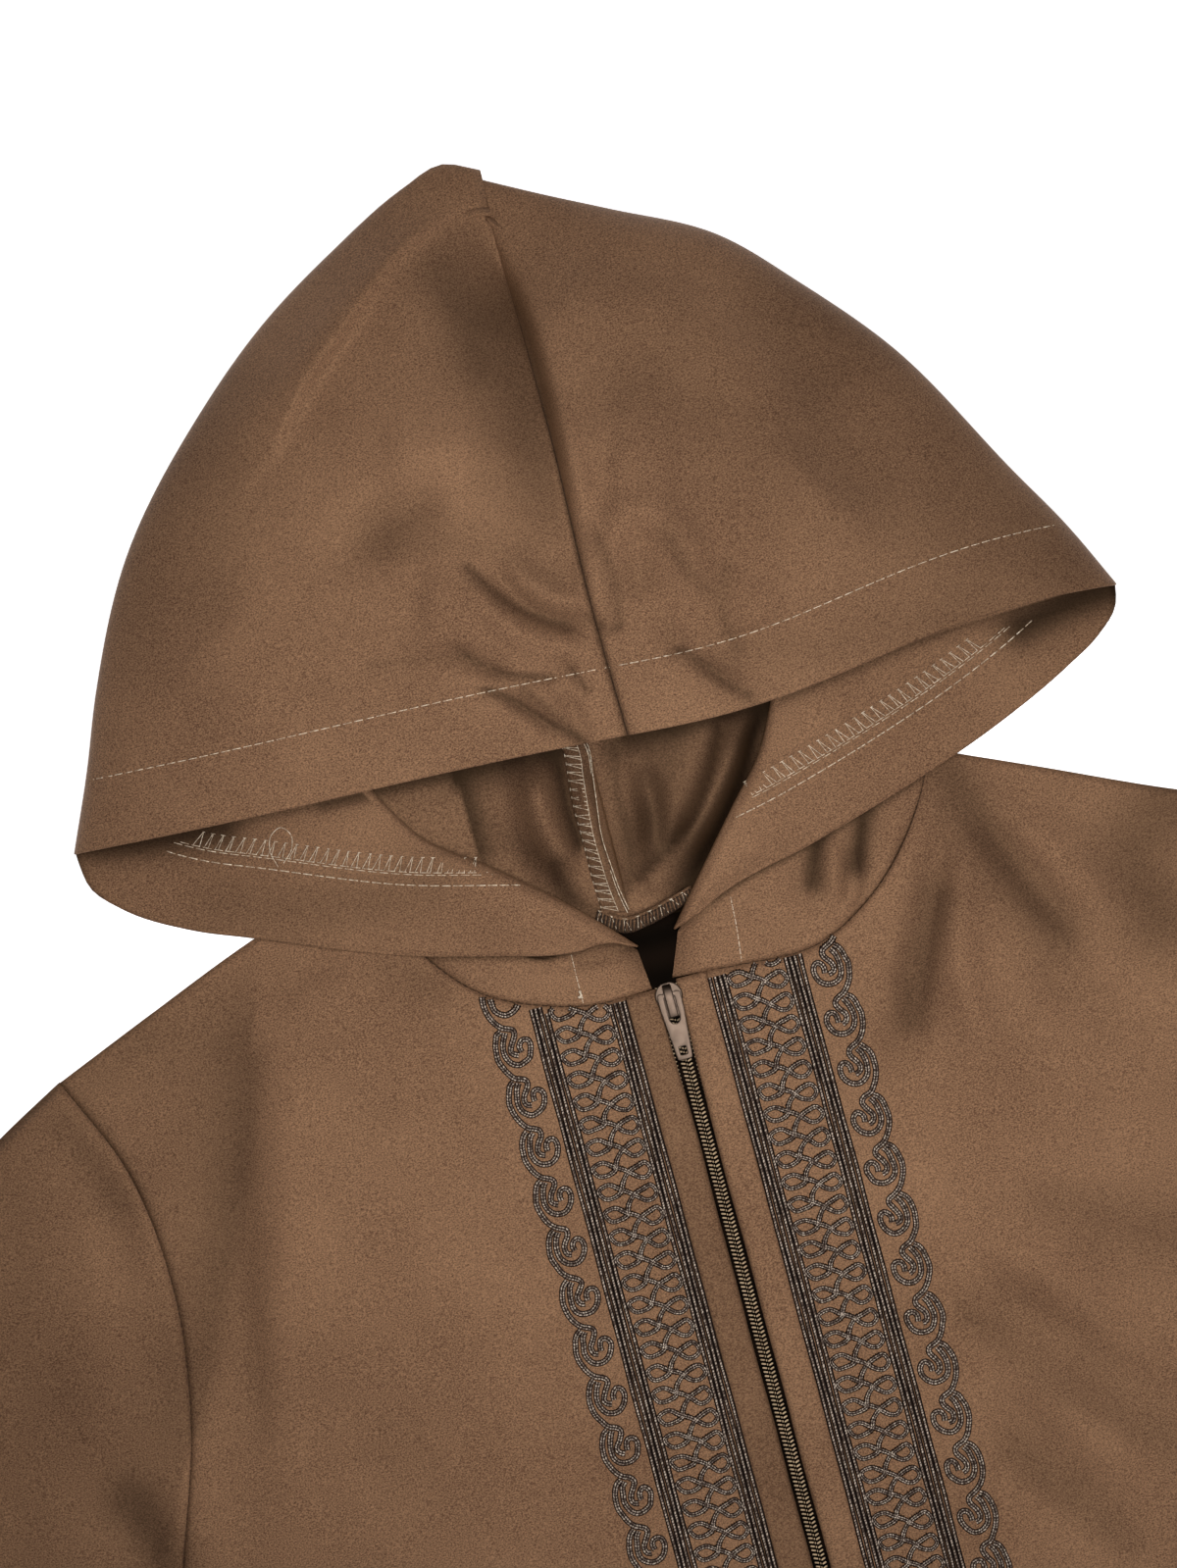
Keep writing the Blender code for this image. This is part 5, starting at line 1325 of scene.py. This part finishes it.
# Seam allowances inside the mouth: at the centre back, pressed to one side, and at the back neck. Length, and
# points of the edge and of the seam.
ALLOWANCES = {
    "centre_back_allowance": (
        0.078,
        [(-17.4, 108.9), (-14.9, 97.1), (-15.9, 85.1), (-16.7, 71.9), (-16.6, 60.5), (-16.9, 46), (-16.4, 31.4)],
        [(-9.5, 106.3), (-5.6, 96.1), (-6.7, 84), (-8.1, 72.8), (-9.5, 59.9), (-8.9, 48.2), (-8, 37.7), (-6.6, 30)],
    ),
    "back_neck_allowance": (
        0.043,
        [(-20.5, 29.6), (-15.4, 25.2), (-9, 22.2), (-1, 22.9), (8.3, 25.1), (19.5, 28.8)],
        [(-17.3, 33.9), (-12.8, 30.4), (-7.5, 28.1), (-0.3, 28.6), (9, 30.8), (19.2, 33.6)],
    ),
}
bands = {}
for name, (length, *lines) in ALLOWANCES.items():
    count = int(run_along(lines[0])[-1] / 1.2)
    edge, seam = (through(line, even(count)) for line in lines)
    share = even(8)
    grid = resting(between(edge, seam, share), inside)
    grid[..., 2] += 0.85 + 0.12 * np.sin(np.pi * share) + 0.15 * unevenness(grid[..., 0], grid[..., 1], 14.0, 41)
    # Painted shade of 0.4 all over, as they lie inside the mouth.
    allowance = cloth_piece(name, grid, [], depth=np.full(grid.shape[:2], 0.4))
    bands[name] = grid
centre, neck = bands["centre_back_allowance"], bands["back_neck_allowance"]
cream.append(overlock(centre[:, 5], centre[:, 0], 3.4, 0.85, 0.18))
cream.append(dashes(centre[:, 5], 1.8, 0.4, 0.85, 0.17))
for shift in (-0.4, 0.4):
    cream.append(dashes(centre[1:, 8] + (shift, 1.5 * shift, 0.2), 1.7, 0.4, 0.45, 0.22))
cream.append(overlock(neck[:, 1], neck[:, 7], 5.2, 0.80, 0.14))
dark.append(overlock(neck[:, 0], neck[:, 6], 1.5, 0.70, 0.36))
# Loose ends: the hood's basting down the collar with its knot, and a loop left on the facing.
for line in ([(-32.4, 19.4), (-32.7, 10.0), (-32.8, -0.6)], [(33.1, 25.1), (32.2, 12.0), (30.6, -1.4)]):
    cream.append(dashes(resting(through(line, even(30)), collars), 2.0, 0.9, 0.45, 0.22))
draw = np.random.default_rng(14)
knot = np.array([-32.8, 3.0, 4.9]) + draw.normal(0.0, 0.35, (9, 3)) * (1.0, 1.8, 0.3)
cream.append((knot[:-1], knot[1:] + (0.0, 0.3, 0.0), 0.34))
LOOP = [(-133.2, 82), (-134.6, 88.7), (-132.6, 94.4), (-128.2, 96.4), (-125.2, 92.8), (-126.3, 87.2), (-130.6, 82.9)]
grid, starts = hood_grids["left"]
lapel = grid[starts["break"] : starts["tip"] : 2, starts["lapel"] : starts["rolled"]]
loop = resting(through(LOOP, even(40)), [lapel]) + (0.0, 0.0, 0.7)
cream.append((loop[:-1], loop[1:], 0.2))
for name, stitches, thread in (
    ("cream_stitches", cream, spun_thread("cream_polyester_thread", "8c7862", "d2c2ac")),
    ("dark_stitches", dark, spun_thread("dark_brown_thread", "1c130d", "38281c")),
):
    new_piece(name, *beads(stitches, sides=5, rings=2), thread, "robe", None, "soutache_cord")

size = {"cad": [cad_low, cad_high], "visual": [list(corner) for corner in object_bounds()]}
